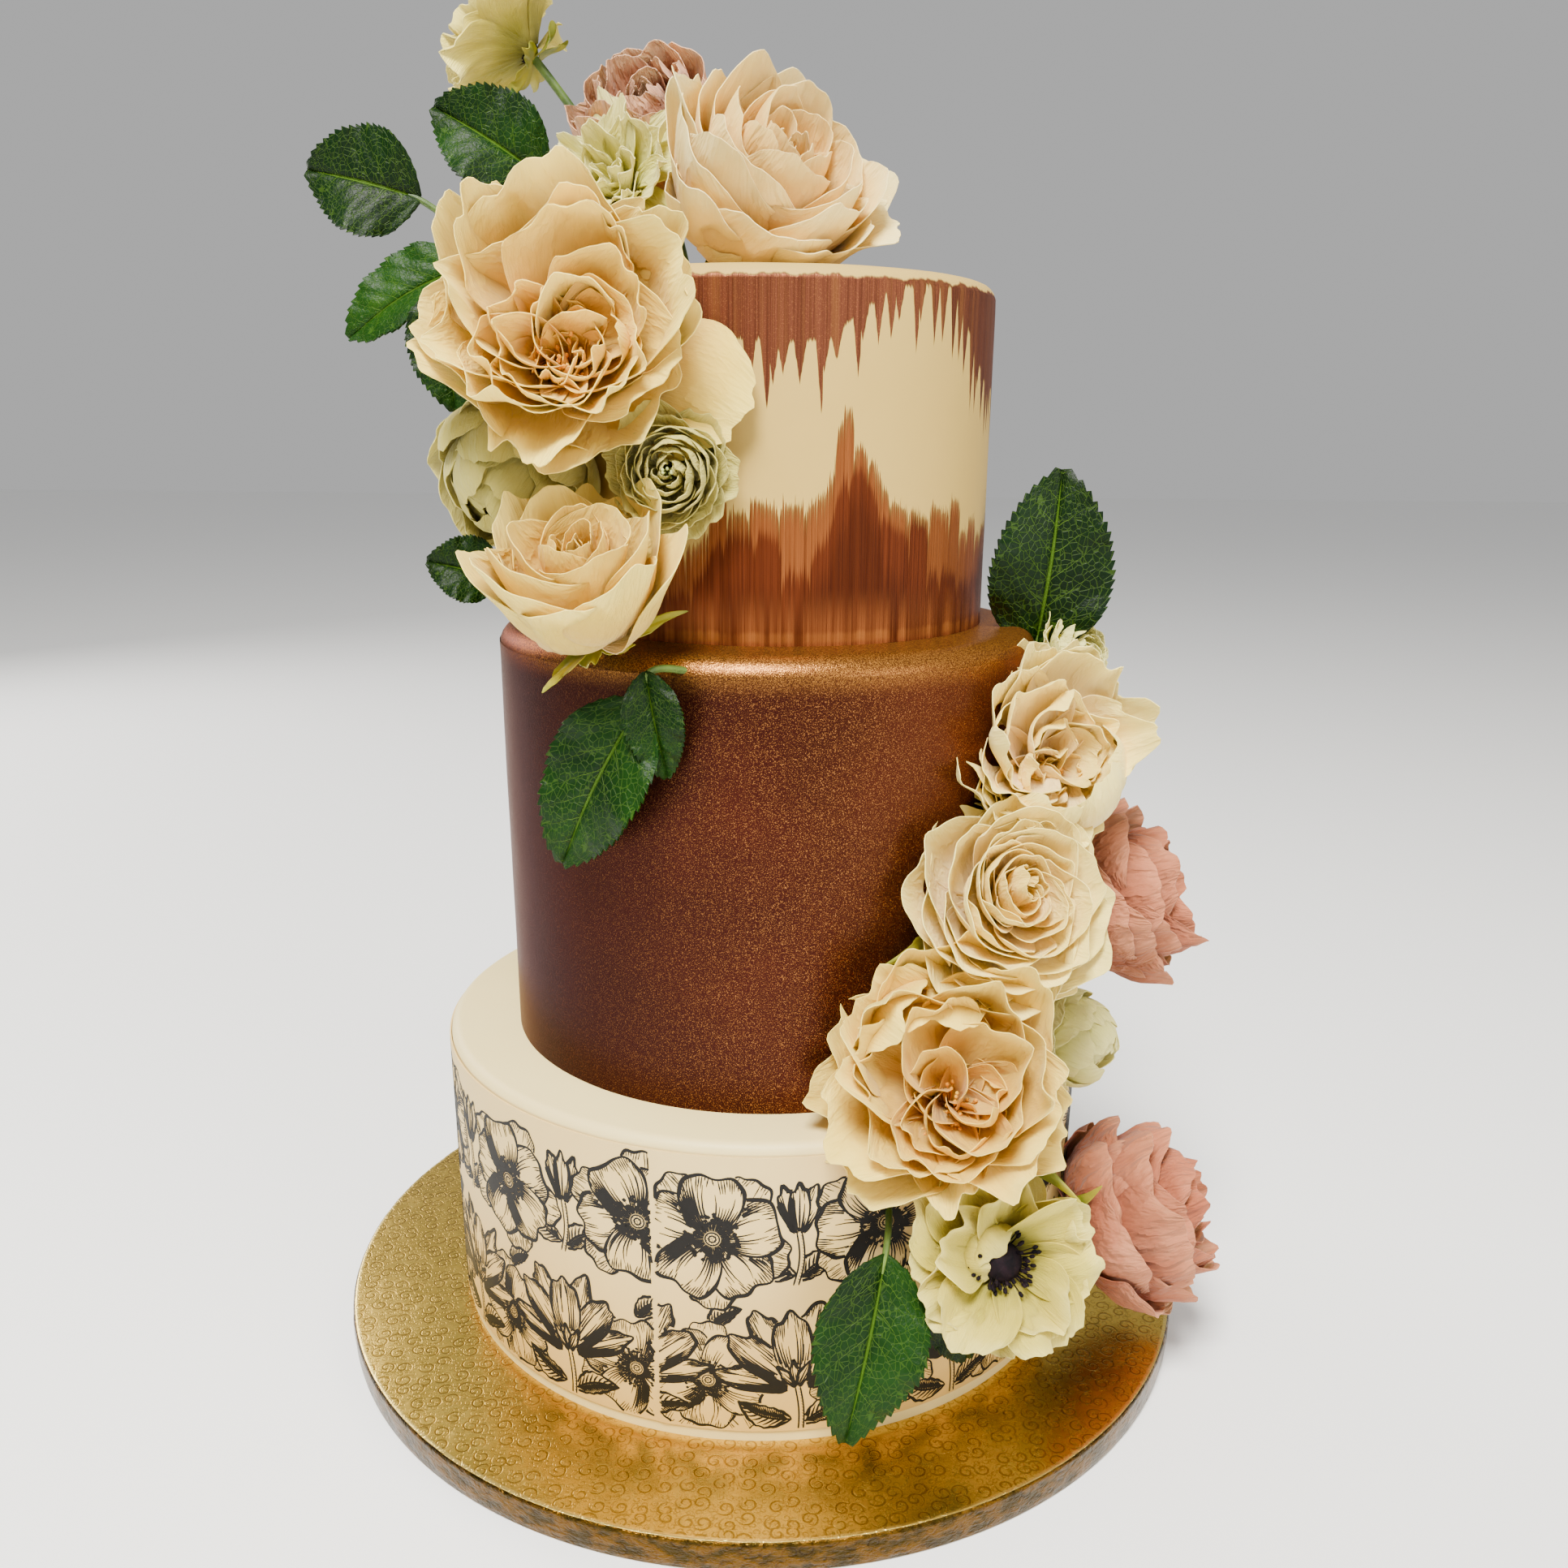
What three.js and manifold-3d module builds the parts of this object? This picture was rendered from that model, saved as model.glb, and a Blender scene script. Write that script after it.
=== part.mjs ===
// A three-tier wedding cake on a foil-covered drum, dressed with two cascades of fabric flowers and leaves.
// Lengths are millimetres and angles degrees. +Z is up, and the origin is the centre of the drum's underside.
// Azimuth runs round the cake from its front (-Y), positive towards +X.
import * as THREE from "three";
import { ConvexGeometry } from "three/addons/geometries/ConvexGeometry.js";
import { mergeVertices } from "three/addons/utils/BufferGeometryUtils.js";
import Module from "manifold-3d";

const wasm = await Module();
wasm.setup();

// ---- Driving dimensions ----
const DRUM = { radius: 177.8, height: 12, edge: 1.5 };
const TIERS = [
  { name: "tier_bottom", radius: 129.5, height: 120, shoulder: 4, x: 0, y: 0 },
  { name: "tier_middle", radius: 102, height: 160, shoulder: 8, x: 1, y: -5 },
  { name: "tier_top", radius: 80.5, height: 118, shoulder: 6, x: 2, y: -1 },
];
const WRAP = { thickness: 0.6, foot: 5, top: 4 }; // printed sheet round the bottom tier, clear of its foot and top
const ROUND = 48; // facets of a full circle
const GAP = 0.35; // clearance between touching pieces
const LEAF_THICKNESS = 1.0;
const STEM_RADIUS = 1.6;
const LEAF_STALK_RADIUS = 1.2;
const STEM_SIDES = 6;

const COLOURS = {
  foil: { color: 0xb8872b, roughness: 0.28, metalness: 1 },
  fondant: { color: 0xf3ead7, roughness: 0.55, metalness: 0 },
  wrap: { color: 0xefe2c4, roughness: 0.6, metalness: 0 },
  copper: { color: 0x8a4a30, roughness: 0.38, metalness: 0.85 },
  cream: { color: 0xf6e3c2, roughness: 0.85, metalness: 0 },
  blush: { color: 0xf0d5c2, roughness: 0.85, metalness: 0 },
  pink: { color: 0xc99684, roughness: 0.85, metalness: 0 },
  pale: { color: 0xe4e6bf, roughness: 0.85, metalness: 0 },
  leaf: { color: 0x1f5a1c, roughness: 0.6, metalness: 0 },
};

const radians = THREE.MathUtils.degToRad;

// ---- Small helpers ----

// Unit vector at an azimuth round the cake and an elevation above the horizon.
function direction(azimuth, elevation) {
  const a = radians(azimuth);
  const e = radians(elevation);
  return new THREE.Vector3(Math.sin(a) * Math.cos(e), -Math.cos(a) * Math.cos(e), Math.sin(e));
}

// Point at an azimuth, a distance from the cake's axis and a height.
function place([azimuth, distance, height]) {
  return direction(azimuth, 0).multiplyScalar(distance).setZ(height);
}

function toSolid(geometry) {
  const bare = geometry.index ? geometry.toNonIndexed() : geometry;
  const only = new THREE.BufferGeometry().setAttribute("position", bare.getAttribute("position"));
  const merged = mergeVertices(only, 1e-3);
  return new wasm.Manifold(
    new wasm.Mesh({
      numProp: 3,
      vertProperties: merged.attributes.position.array,
      triVerts: new Uint32Array(merged.index.array),
    }),
  );
}

function toGeometry(solid) {
  const mesh = solid.getMesh();
  return new THREE.BufferGeometry()
    .setAttribute("position", new THREE.BufferAttribute(mesh.vertProperties, 3))
    .setIndex(new THREE.BufferAttribute(mesh.triVerts, 1));
}

const union = (solids) => solids.reduce((whole, next) => whole.add(next));

// Solid of revolution about +Z from [radius, height] points that start and end on the axis.
function turned(points, segments = ROUND) {
  const profile = points.map(([r, z]) => new THREE.Vector2(r, z));
  return new THREE.LatheGeometry(profile, segments).rotateX(Math.PI / 2);
}

// Quarter-round profile points from angle a0 to a1 about a centre.
function arc(cr, cz, radius, a0, a1, steps) {
  return Array.from({ length: steps + 1 }, (_, i) => {
    const a = radians(a0 + ((a1 - a0) * i) / steps);
    return [cr + radius * Math.cos(a), cz + radius * Math.sin(a)];
  });
}

// Closed sheet of even thickness over a surface point(s, t), with s across from -1 to 1 and t along from 0 to 1.
function sheet(point, rows, columns, thickness) {
  const step = 1e-3;
  const front = [];
  const back = [];
  for (let j = 0; j <= rows; j++)
    for (let i = 0; i <= columns; i++) {
      const s = -1 + (2 * i) / columns;
      const t = j / rows;
      const across = point(s + step, t).sub(point(s - step, t));
      const along = point(s, t + step).sub(point(s, t - step));
      const normal = across.cross(along).setLength(thickness / 2);
      front.push(point(s, t).add(normal));
      back.push(point(s, t).sub(normal));
    }
  const at = (i, j) => j * (columns + 1) + i;
  const corners = [];
  const quad = (a, b, c, d) => corners.push(a, b, c, a, c, d);
  for (let j = 0; j < rows; j++)
    for (let i = 0; i < columns; i++) {
      const [a, b, c, d] = [at(i, j), at(i + 1, j), at(i + 1, j + 1), at(i, j + 1)];
      quad(front[a], front[b], front[c], front[d]);
      corners.push(back[a], back[c], back[b], back[a], back[d], back[c]);
    }
  const rim = [];
  for (let i = 0; i < columns; i++) rim.push(at(i, 0));
  for (let j = 0; j < rows; j++) rim.push(at(columns, j));
  for (let i = columns; i > 0; i--) rim.push(at(i, rows));
  for (let j = rows; j > 0; j--) rim.push(at(0, j));
  rim.forEach((a, k) => {
    const b = rim[(k + 1) % rim.length];
    quad(back[a], back[b], front[b], front[a]);
  });
  return new THREE.BufferGeometry().setFromPoints(corners);
}

// Round stem along a bent line.
function stem(points, radius) {
  const corners = Array.from({ length: STEM_SIDES }, (_, i) => {
    const angle = (2 * Math.PI * i) / STEM_SIDES;
    return new THREE.Vector2(radius * Math.cos(angle), radius * Math.sin(angle));
  });
  return new THREE.ExtrudeGeometry(new THREE.Shape(corners), {
    extrudePath: new THREE.CatmullRomCurve3(points),
    steps: 2,
    bevelEnabled: false,
  });
}

// ---- Drum, tiers and printed wrap ----

function drumGeometry(grow = 0) {
  const { radius, height, edge } = DRUM;
  return turned([
    [0, -grow],
    ...arc(radius - edge, edge, edge + grow, -90, 0, 1),
    ...arc(radius - edge, height - edge, edge + grow, 0, 90, 1),
    [0, height + grow],
  ]);
}

function tierGeometry({ radius, height, shoulder }, grow = 0) {
  const r = radius + grow;
  const top = height + grow;
  return turned([[0, -grow], [r, -grow], ...arc(r - shoulder, top - shoulder, shoulder, 0, 90, 2), [0, top]]);
}

// Height of a tier's foot above the table.
const footOf = (index) => TIERS.slice(0, index).reduce((z, t) => z + t.height, DRUM.height);

// The printed sheet is a ring that hugs the bottom tier.
function wrapGeometry(grow = 0) {
  const inner = TIERS[0].radius + GAP - grow;
  const outer = TIERS[0].radius + GAP + WRAP.thickness + grow;
  const low = WRAP.foot - grow;
  const high = TIERS[0].height - WRAP.top + grow;
  return turned([
    [inner, low],
    [outer, low],
    [outer, high],
    [inner, high],
    [inner, low],
  ]);
}

// The drum, tiers and wrap with clearance all round, which flowers and leaves are cut by.
const keepOut = union([
  toSolid(drumGeometry(GAP)),
  ...TIERS.map((tier, i) => toSolid(tierGeometry(tier, GAP).translate(tier.x, tier.y, footOf(i)))),
  toSolid(wrapGeometry(GAP).translate(0, 0, DRUM.height)),
]);

// ---- Flowers ----

// Flower kinds. A flower is one body: a heart, then rings of petals, each ring a lobed bowl round the last.
// Lengths are shares of the flower's radius, out from its axis and up from its base. A ring's petals reach the
// point [out, up], and their tips lean that many degrees above the plane of the flower's face. notch is how far
// the rim dips between two petals. petals is the count in a ring, and depth is how far the face is from the base.
const PEONY = {
  petals: 6,
  depth: 0.42,
  heart: [0.2, 0.4],
  rings: [
    { out: 0.4, up: 0.6, lean: 80, notch: 0.3 },
    { out: 0.72, up: 0.58, lean: 50, notch: 0.3 },
    { out: 1.0, up: 0.36, lean: 15, notch: 0.22 },
  ],
};
const ROSE = {
  petals: 5,
  depth: 0.42,
  heart: [0.14, 0.8],
  rings: [
    { out: 0.34, up: 0.86, lean: 85, notch: 0.2 },
    { out: 0.68, up: 0.74, lean: 35, notch: 0.2 },
    { out: 1.0, up: 0.36, lean: -35, notch: 0.16 },
  ],
};
const CABBAGE_ROSE = {
  petals: 5,
  depth: 0.7,
  heart: [0.2, 1.0],
  rings: [
    { out: 0.46, up: 1.1, lean: 95, notch: 0.2 },
    { out: 0.75, up: 0.98, lean: 80, notch: 0.2 },
    { out: 1.0, up: 0.62, lean: 45, notch: 0.2 },
  ],
};
const RANUNCULUS = {
  petals: 5,
  depth: 0.6,
  heart: [0.4, 0.95],
  rings: [
    { out: 0.7, up: 0.92, lean: 100, notch: 0.15 },
    { out: 1.0, up: 0.62, lean: 75, notch: 0.15 },
  ],
};
const BUD = {
  petals: 5,
  depth: 0.8,
  heart: [0.3, 1.6],
  rings: [
    { out: 0.66, up: 1.4, lean: 115, notch: 0.12 },
    { out: 0.98, up: 0.86, lean: 95, notch: 0.12 },
  ],
};
const ANEMONE = {
  petals: 8,
  depth: 0.3,
  heart: [0.2, 0.3],
  rings: [{ out: 1.0, up: 0.36, lean: 10, notch: 0.32 }],
};
const FILLER = {
  petals: 6,
  depth: 0.5,
  heart: [0.3, 0.62],
  rings: [
    { out: 0.62, up: 0.76, lean: 60, notch: 0.4 },
    { out: 1.0, up: 0.46, lean: 25, notch: 0.36 },
  ],
};
const COLUMNS_PER_PETAL = 4;
const ROOM_SIDES = 12; // sides of the room kept round a flower
const PETAL_EDGE = 0.05; // thickness of a petal ring's rim
const HOLLOW = 0.72; // height of the hollow between two rings, against the lower of their rims
const UNDER = { out: 0.6, up: -0.06 }; // where the underside turns in, out against the outer rim
const BASE = -0.14; // lowest point, on the axis
const CLAW = 0.3; // how far out a ring's petals start, against where they end
const UNEVEN = 0.07; // how far a petal may outreach the rest or fall short
const STRAY_ROWS = 5;

// Each flower: centre of its face [azimuth, distance from the axis, height], radius, the way it faces
// [azimuth, elevation], its turn about its own axis, and root, the point on the cake that its stem runs to.
// A stray is a petal that hangs out past the rest, at a turn from the flower's first column. A flower gives way
// to those listed before it.
const FLOWERS = [
  { name: "peony_left", kind: PEONY, at: [-32, 111, 394], radius: 49, face: [4, 14], turn: 8, colour: "cream", root: [-45, 78, 372],
    stray: { turn: -28, out: 1.27, up: 0.16, width: 0.8 } },
  { name: "rose_left", kind: ROSE, at: [-30, 121, 315], radius: 33, face: [-4, 28], turn: 20, colour: "cream", root: [-30, 92, 290] },
  { name: "ranunculus_left", kind: RANUNCULUS, at: [-16.5, 98, 347], radius: 19, face: [-4, 0], turn: 0, colour: "pale", root: [-17, 78, 342] },
  { name: "rose_blush", kind: ROSE, at: [10, 32, 449], radius: 43, face: [28, 36], turn: 30, colour: "blush", root: [-20, 15, 408] },
  { name: "bud_left", kind: BUD, at: [-59, 100, 350], radius: 27, face: [-40, -28], turn: 0, colour: "pale", root: [-64, 76, 362] },
  { name: "filler_top", kind: FILLER, at: [-74, 50, 444], radius: 27, face: [-25, 42], turn: 10, colour: "pale", root: [-80, 44, 408] },
  { name: "rose_pink_top", kind: CABBAGE_ROSE, at: [-118, 38, 470], radius: 30, face: [-20, 62], turn: 0, colour: "pink", root: [-130, 36, 408] },
  { name: "rose_right", kind: ROSE, at: [41, 126, 207], radius: 35, face: [16, 32], turn: 0, colour: "cream", root: [42, 98, 190] },
  { name: "peony_right", kind: PEONY, at: [59, 118, 257], radius: 37, face: [20, 6], turn: 25, colour: "cream", root: [58, 98, 248] },
  { name: "peony_low", kind: PEONY, at: [26, 139, 153], radius: 46, face: [-12, 40], turn: 15, colour: "cream", root: [30, 118, 130] },
  { name: "anemone_low", kind: ANEMONE, at: [31, 159, 88], radius: 37, face: [8, 24], turn: 12, colour: "pale", root: [34, 127, 78] },
  { name: "rose_pink_mid", kind: CABBAGE_ROSE, at: [78, 142, 190], radius: 32, face: [62, 12], turn: 20, colour: "pink", root: [76, 98, 186] },
  { name: "rose_pink_low", kind: CABBAGE_ROSE, at: [68, 163, 66], radius: 36, face: [48, 4], turn: 40, colour: "pink", root: [70, 127, 62] },
  { name: "bud_right", kind: BUD, at: [69, 129, 133], radius: 21, face: [50, -10], turn: 0, colour: "pale", root: [72, 118, 130] },
  { name: "ranunculus_right", kind: RANUNCULUS, at: [78, 116, 281], radius: 17, face: [50, 15], turn: 0, colour: "pale", root: [82, 98, 272] },
  { name: "anemone_top", kind: ANEMONE, at: [-111, 101, 500], radius: 33, face: [-98, 62], turn: 0, colour: "pale", root: [-150, 45, 408] },
];

// Turn of a frame whose +Z points along face, +X as level as it can be.
function facing([azimuth, elevation], turn) {
  const axis = direction(azimuth, elevation);
  const across = direction(azimuth + 90, 0);
  const up = axis.clone().cross(across);
  return new THREE.Matrix4()
    .makeBasis(across, up, axis)
    .multiply(new THREE.Matrix4().makeRotationZ(radians(turn)));
}

const mix = (a, b, t) => a.map((value, i) => value + (b[i] - value) * t);

// Section of a flower through its axis at a turn measured in petals, from the heart's top to the base.
function flowerSection({ heart, rings }, turn) {
  const rims = rings.map((ring, k) => {
    const phase = turn + (rings.length - 1 - k) / 2; // petals of one ring stand between those of the next
    const dip = ring.notch * Math.abs(Math.sin(Math.PI * phase)) ** 3;
    const claw = [CLAW * ring.out, 0];
    return mix([ring.out, ring.up], claw, dip + UNEVEN * Math.sin(2.4 * Math.round(phase) + k));
  });
  const [edge, lip] = rims.at(-1);
  const underside = (out) => lip - ((lip - UNDER.up) * (edge - out)) / (edge - UNDER.out * edge);
  const [width, height] = heart;
  const section = [[0, height], [width, 0.9 * height]];
  rims.forEach(([out, up], k) => {
    const [insideOut, insideUp] = k ? rims[k - 1] : heart;
    const middle = (insideOut + out) / 2;
    section.push([middle, Math.max(HOLLOW * Math.min(insideUp, up), underside(middle) + PETAL_EDGE / 2)]);
    const half = PETAL_EDGE / 2;
    const [x, y] = [-half * Math.sin(radians(rings[k].lean)), half * Math.cos(radians(rings[k].lean))];
    section.push([out + x, up + y], [out - x, up - y]);
  });
  section.push([UNDER.out * edge, UNDER.up], [0, BASE]);
  return section;
}

function flowerGeometry(kind, radius) {
  const columns = kind.petals * COLUMNS_PER_PETAL;
  const sections = Array.from({ length: columns }, (_, i) => {
    const angle = (2 * Math.PI * i) / columns;
    return flowerSection(kind, (i + 0.5) / COLUMNS_PER_PETAL).map(
      ([out, up]) => new THREE.Vector3(out * Math.cos(angle), out * Math.sin(angle), up).multiplyScalar(radius),
    );
  });
  const corners = [];
  sections.forEach((here, i) => {
    const next = sections[(i + 1) % columns];
    const last = here.length - 1;
    corners.push(here[0], here[1], next[1]);
    for (let j = 1; j < last - 1; j++) corners.push(here[j], here[j + 1], next[j + 1], here[j], next[j + 1], next[j]);
    corners.push(here[last - 1], here[last], next[last - 1]);
  });
  return new THREE.BufferGeometry().setFromPoints(corners);
}

// A single petal that hangs out past the outer ring at a turn about the flower's axis.
function strayPetal({ turn, out, up, width }, radius) {
  const surface = (s, t) => {
    const half = (width / 2) * Math.sin(Math.PI * (0.16 + 0.68 * t)) ** 0.6;
    const reach = CLAW + (out - CLAW) * t * (1 - 0.16 * s * s);
    return new THREE.Vector3(s * half, reach, t * (up + 0.12 * s * s)).multiplyScalar(radius);
  };
  return sheet(surface, STRAY_ROWS, STRAY_ROWS, PETAL_EDGE * radius).rotateZ(radians(turn - 90));
}

// Convex body round a geometry, a set distance clear of it each way along the axes.
function hullRound(geometry, distance) {
  const position = geometry.getAttribute("position");
  const points = [];
  for (let i = 0; i < position.count; i++)
    for (const axis of [0, 1, 2])
      for (const step of [-distance, distance]) {
        const point = new THREE.Vector3().fromBufferAttribute(position, i);
        points.push(point.setComponent(axis, point.getComponent(axis) + step));
      }
  return new ConvexGeometry(points);
}

// Plain convex body round a flower with clearance, which later pieces are cut by.
function flowerRoom({ heart, rings }, radius) {
  const grow = 1 + UNEVEN + PETAL_EDGE / 2;
  const profile = [[0, BASE], [UNDER.out, UNDER.up], ...rings.map((ring) => [grow * ring.out, grow * ring.up]), heart];
  const points = [];
  for (const [out, up] of profile)
    for (let i = 0; i < ROOM_SIDES; i++) {
      const angle = (2 * Math.PI * i) / ROOM_SIDES;
      const reach = (out * radius + GAP) / Math.cos(Math.PI / ROOM_SIDES);
      const height = up * radius + GAP * Math.sign(up);
      points.push(new THREE.Vector3(reach * Math.cos(angle), reach * Math.sin(angle), height));
    }
  return new ConvexGeometry(points);
}

function flowerSolid({ kind, at, radius, face, turn, root, stray }) {
  const frame = facing(face, turn);
  const axis = direction(...face);
  const base = place(at).addScaledVector(axis, -kind.depth * radius);
  frame.setPosition(base);
  const inside = base.clone().addScaledVector(axis, 0.05 * radius);
  const behind = base.clone().addScaledVector(axis, -0.2 * radius);
  const line = [inside, behind, place(root)];
  let head = toSolid(flowerGeometry(kind, radius).applyMatrix4(frame));
  let headRoom = toSolid(flowerRoom(kind, radius).applyMatrix4(frame));
  if (stray) {
    const petal = strayPetal(stray, radius).applyMatrix4(frame);
    head = head.add(toSolid(petal));
    headRoom = headRoom.add(toSolid(hullRound(petal, 2 * GAP)));
  }
  return {
    whole: head.add(toSolid(stem(line, STEM_RADIUS))),
    room: headRoom.add(toSolid(stem(line, STEM_RADIUS + 2 * GAP))),
  };
}

// ---- Leaves ----

// Each leaf: its foot and tip [azimuth, distance, height], width, the way its face looks, how far its middle
// bows out of the straight line, how far its halves fold up, and root, the point that its stalk runs on to.
const LEAVES = [
  { name: "leaf_far_left", foot: [-90, 123, 438], tip: [-91, 163, 447], width: 36, face: [5, 5], bow: 3, fold: 12, root: [-100, 74, 398] },
  { name: "leaf_upper_left", foot: [-97, 80, 446], tip: [-95, 119, 469], width: 35, face: [0, 10], bow: 4, fold: 14, root: [-106, 60, 408] },
  { name: "leaf_left_light", foot: [-81, 104, 415], tip: [-82, 148, 390], width: 28, face: [-12, 28], bow: 4, fold: 14, root: [-92, 74, 400] },
  { name: "leaf_left_dark", foot: [-72, 112, 406], tip: [-70, 114, 366], width: 28, face: [-8, 8], bow: 4, fold: 12, root: [-84, 74, 394] },
  { name: "leaf_small_left", foot: [-53, 112, 312], tip: [-58, 133, 318], width: 22, face: [-8, 20], bow: 2, fold: 14, root: [-62, 90, 290] },
  { name: "leaf_drop_big", foot: [-20, 114, 279], tip: [-34, 121, 222], width: 37, face: [-24, 8], bow: 4, fold: 10, root: [-20, 98, 284] },
  { name: "leaf_drop_small", foot: [-19, 116, 288], tip: [-16, 114, 254], width: 19, face: [-2, 4], bow: 3, fold: 20, root: [-10, 98, 284] },
  { name: "leaf_right_top", foot: [76, 104, 282], tip: [77, 110, 348], width: 45, face: [2, 2], bow: 4, fold: 12, root: [84, 98, 270] },
  { name: "leaf_low_big", foot: [17, 142, 94], tip: [10, 160, 35], width: 38, face: [8, 22], bow: 3, fold: 12, root: [20, 127, 104] },
  { name: "leaf_low_small", foot: [25, 138, 82], tip: [31, 143, 42], width: 24, face: [22, 4], bow: 3, fold: 12, root: [26, 127, 90] },
];
const LEAF_ROWS = 8;
const TOOTH = 0.07; // depth of the saw teeth as a share of the half width

// Half width of a leaf along its length, as a share of its full half width.
function leafOutline(t) {
  const body = Math.sin(Math.PI * Math.min(Math.max(t, 0), 1) ** 0.8) ** 0.75;
  return 0.04 + 0.96 * body;
}

function leafSolid({ foot, tip, width, face, bow, fold, root }) {
  const start = place(foot);
  const along = place(tip).sub(start);
  const length = along.length();
  along.normalize();
  const across = along.clone().cross(direction(...face)).normalize();
  const normal = across.clone().cross(along).normalize();
  const frame = new THREE.Matrix4().makeBasis(across, along, normal).setPosition(start);
  const surface = (s, t) => {
    const tooth = 1 + TOOTH * (Math.round(t * LEAF_ROWS) % 2 ? 1 : -1) * Math.abs(s);
    const half = (width / 2) * leafOutline(t) * tooth;
    const rise = bow * Math.sin(Math.PI * t) + Math.abs(s) * half * Math.tan(radians(fold));
    const wave = 0.05 * width * s * Math.sin(3 * Math.PI * t);
    return new THREE.Vector3(s * half, t * length, rise + wave);
  };
  const blade = toSolid(sheet(surface, LEAF_ROWS, 4, LEAF_THICKNESS).applyMatrix4(frame));
  const line = [surface(0, 0.08).applyMatrix4(frame), start.clone().addScaledVector(along, -0.12 * length), place(root)];
  const reach = bow + (width / 2) * Math.tan(radians(fold)) + LEAF_THICKNESS;
  const box = new THREE.BoxGeometry(width * (1 + TOOTH) + 2 * GAP, length + 2 * GAP, reach + 2 * GAP);
  const bladeRoom = toSolid(box.translate(0, length / 2, reach / 2 - LEAF_THICKNESS / 2).applyMatrix4(frame));
  return {
    whole: blade.add(toSolid(stem(line, LEAF_STALK_RADIUS))),
    room: bladeRoom.add(toSolid(stem(line, LEAF_STALK_RADIUS + 2 * GAP))),
  };
}

// ---- Assembly ----

const cake = new THREE.Group();

function addMesh(name, geometry, look) {
  const mesh = new THREE.Mesh(geometry, new THREE.MeshStandardMaterial(COLOURS[look]));
  mesh.name = name;
  cake.add(mesh);
  return mesh;
}

addMesh("drum", drumGeometry(), "foil");
TIERS.forEach((tier, i) => {
  const mesh = addMesh(tier.name, tierGeometry(tier), tier.name === "tier_middle" ? "copper" : "fondant");
  mesh.position.set(tier.x, tier.y, footOf(i));
});
addMesh("printed_wrap", wrapGeometry(), "wrap").position.z = DRUM.height;

// Each piece gives way to the cake and to the pieces listed before it.
let taken = keepOut;
function addCut(name, { whole, room }, look) {
  const left = toSolid(toGeometry(whole.subtract(taken))).decompose();
  const solid = left.sort((a, b) => b.volume() - a.volume())[0];
  addMesh(name, toGeometry(solid), look);
  taken = taken.add(room);
}

FLOWERS.forEach((flower) => addCut(flower.name, flowerSolid(flower), flower.colour));
LEAVES.forEach((leaf) => addCut(leaf.name, leafSolid(leaf), "leaf"));

export default cake;
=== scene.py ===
# %% [markdown]
# # A three-tier wedding cake, built piece by piece
# The cake stands on a drum: a stiff board wrapped in embossed gold foil. Three round tiers of fondant sit on it.
# The lowest wears a printed icing sheet, the middle one is airbrushed copper, and the top one is ivory with copper
# paint dragged over it by a dry brush. Two cascades of fabric flowers and leaves run down its sides.
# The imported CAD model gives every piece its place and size. This lesson gives each one its real shape and finish.

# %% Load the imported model
import math
from types import SimpleNamespace

import bpy
import numpy as np
from mathutils import Matrix, Vector


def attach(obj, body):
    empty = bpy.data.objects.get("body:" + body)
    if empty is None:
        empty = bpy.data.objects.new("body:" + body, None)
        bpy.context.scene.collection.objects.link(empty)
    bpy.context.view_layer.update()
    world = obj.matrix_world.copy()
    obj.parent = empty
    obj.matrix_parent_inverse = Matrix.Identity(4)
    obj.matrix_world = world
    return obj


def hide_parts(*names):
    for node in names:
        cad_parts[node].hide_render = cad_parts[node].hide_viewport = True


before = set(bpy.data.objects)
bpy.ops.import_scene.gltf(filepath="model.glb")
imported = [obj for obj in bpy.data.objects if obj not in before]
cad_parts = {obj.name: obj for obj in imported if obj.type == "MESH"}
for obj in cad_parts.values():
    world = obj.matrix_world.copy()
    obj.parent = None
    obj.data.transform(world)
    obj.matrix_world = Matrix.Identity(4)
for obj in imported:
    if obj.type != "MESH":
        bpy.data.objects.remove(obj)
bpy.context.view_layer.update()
MM = 0.001  # every length below is written in millimetres and brought to metres once, where a mesh is made
print("nodes in the frame:", len(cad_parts))

# %% [markdown]
# ## Camera
# A camera is a point, a turn and a lens. It stands a little above the middle of the cake and looks slightly down.
# The lens is given in millimetres on a 36 mm sensor, and the shift slides the picture without turning the camera,
# which keeps the tiers' sides as they would look through a real shift lens.

# %% Place the camera
CAMERA_DISTANCE = 537.1
CAMERA_HEIGHT = 359.6
CAMERA_PITCH, CAMERA_ROLL, CAMERA_YAW = 0.313, 0.009, 0.019  # radians: down, tilted, turned right
LENS, SENSOR = 31.33, 36
SHIFT = (-0.0035, 0.058)  # shares of the picture's width


def add_camera():
    """Adds the camera, with its axes built from pitch, yaw and roll."""
    look = Vector((math.sin(CAMERA_YAW) * math.cos(CAMERA_PITCH),
                   math.cos(CAMERA_YAW) * math.cos(CAMERA_PITCH), -math.sin(CAMERA_PITCH)))
    level = Vector((math.cos(CAMERA_YAW), -math.sin(CAMERA_YAW), 0))
    upright = level.cross(look)
    right = level * math.cos(CAMERA_ROLL) + upright * math.sin(CAMERA_ROLL)
    up = upright * math.cos(CAMERA_ROLL) - level * math.sin(CAMERA_ROLL)
    camera = bpy.data.objects.new("camera", bpy.data.cameras.new("camera"))
    bpy.context.scene.collection.objects.link(camera)
    camera.matrix_world = Matrix.Translation((0, -CAMERA_DISTANCE * MM, CAMERA_HEIGHT * MM)) @ Matrix(
        (right, up, -look)).transposed().to_4x4()
    camera.data.lens, camera.data.sensor_width = LENS, SENSOR
    camera.data.shift_x, camera.data.shift_y = SHIFT
    bpy.context.scene.camera = camera


add_camera()

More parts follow.
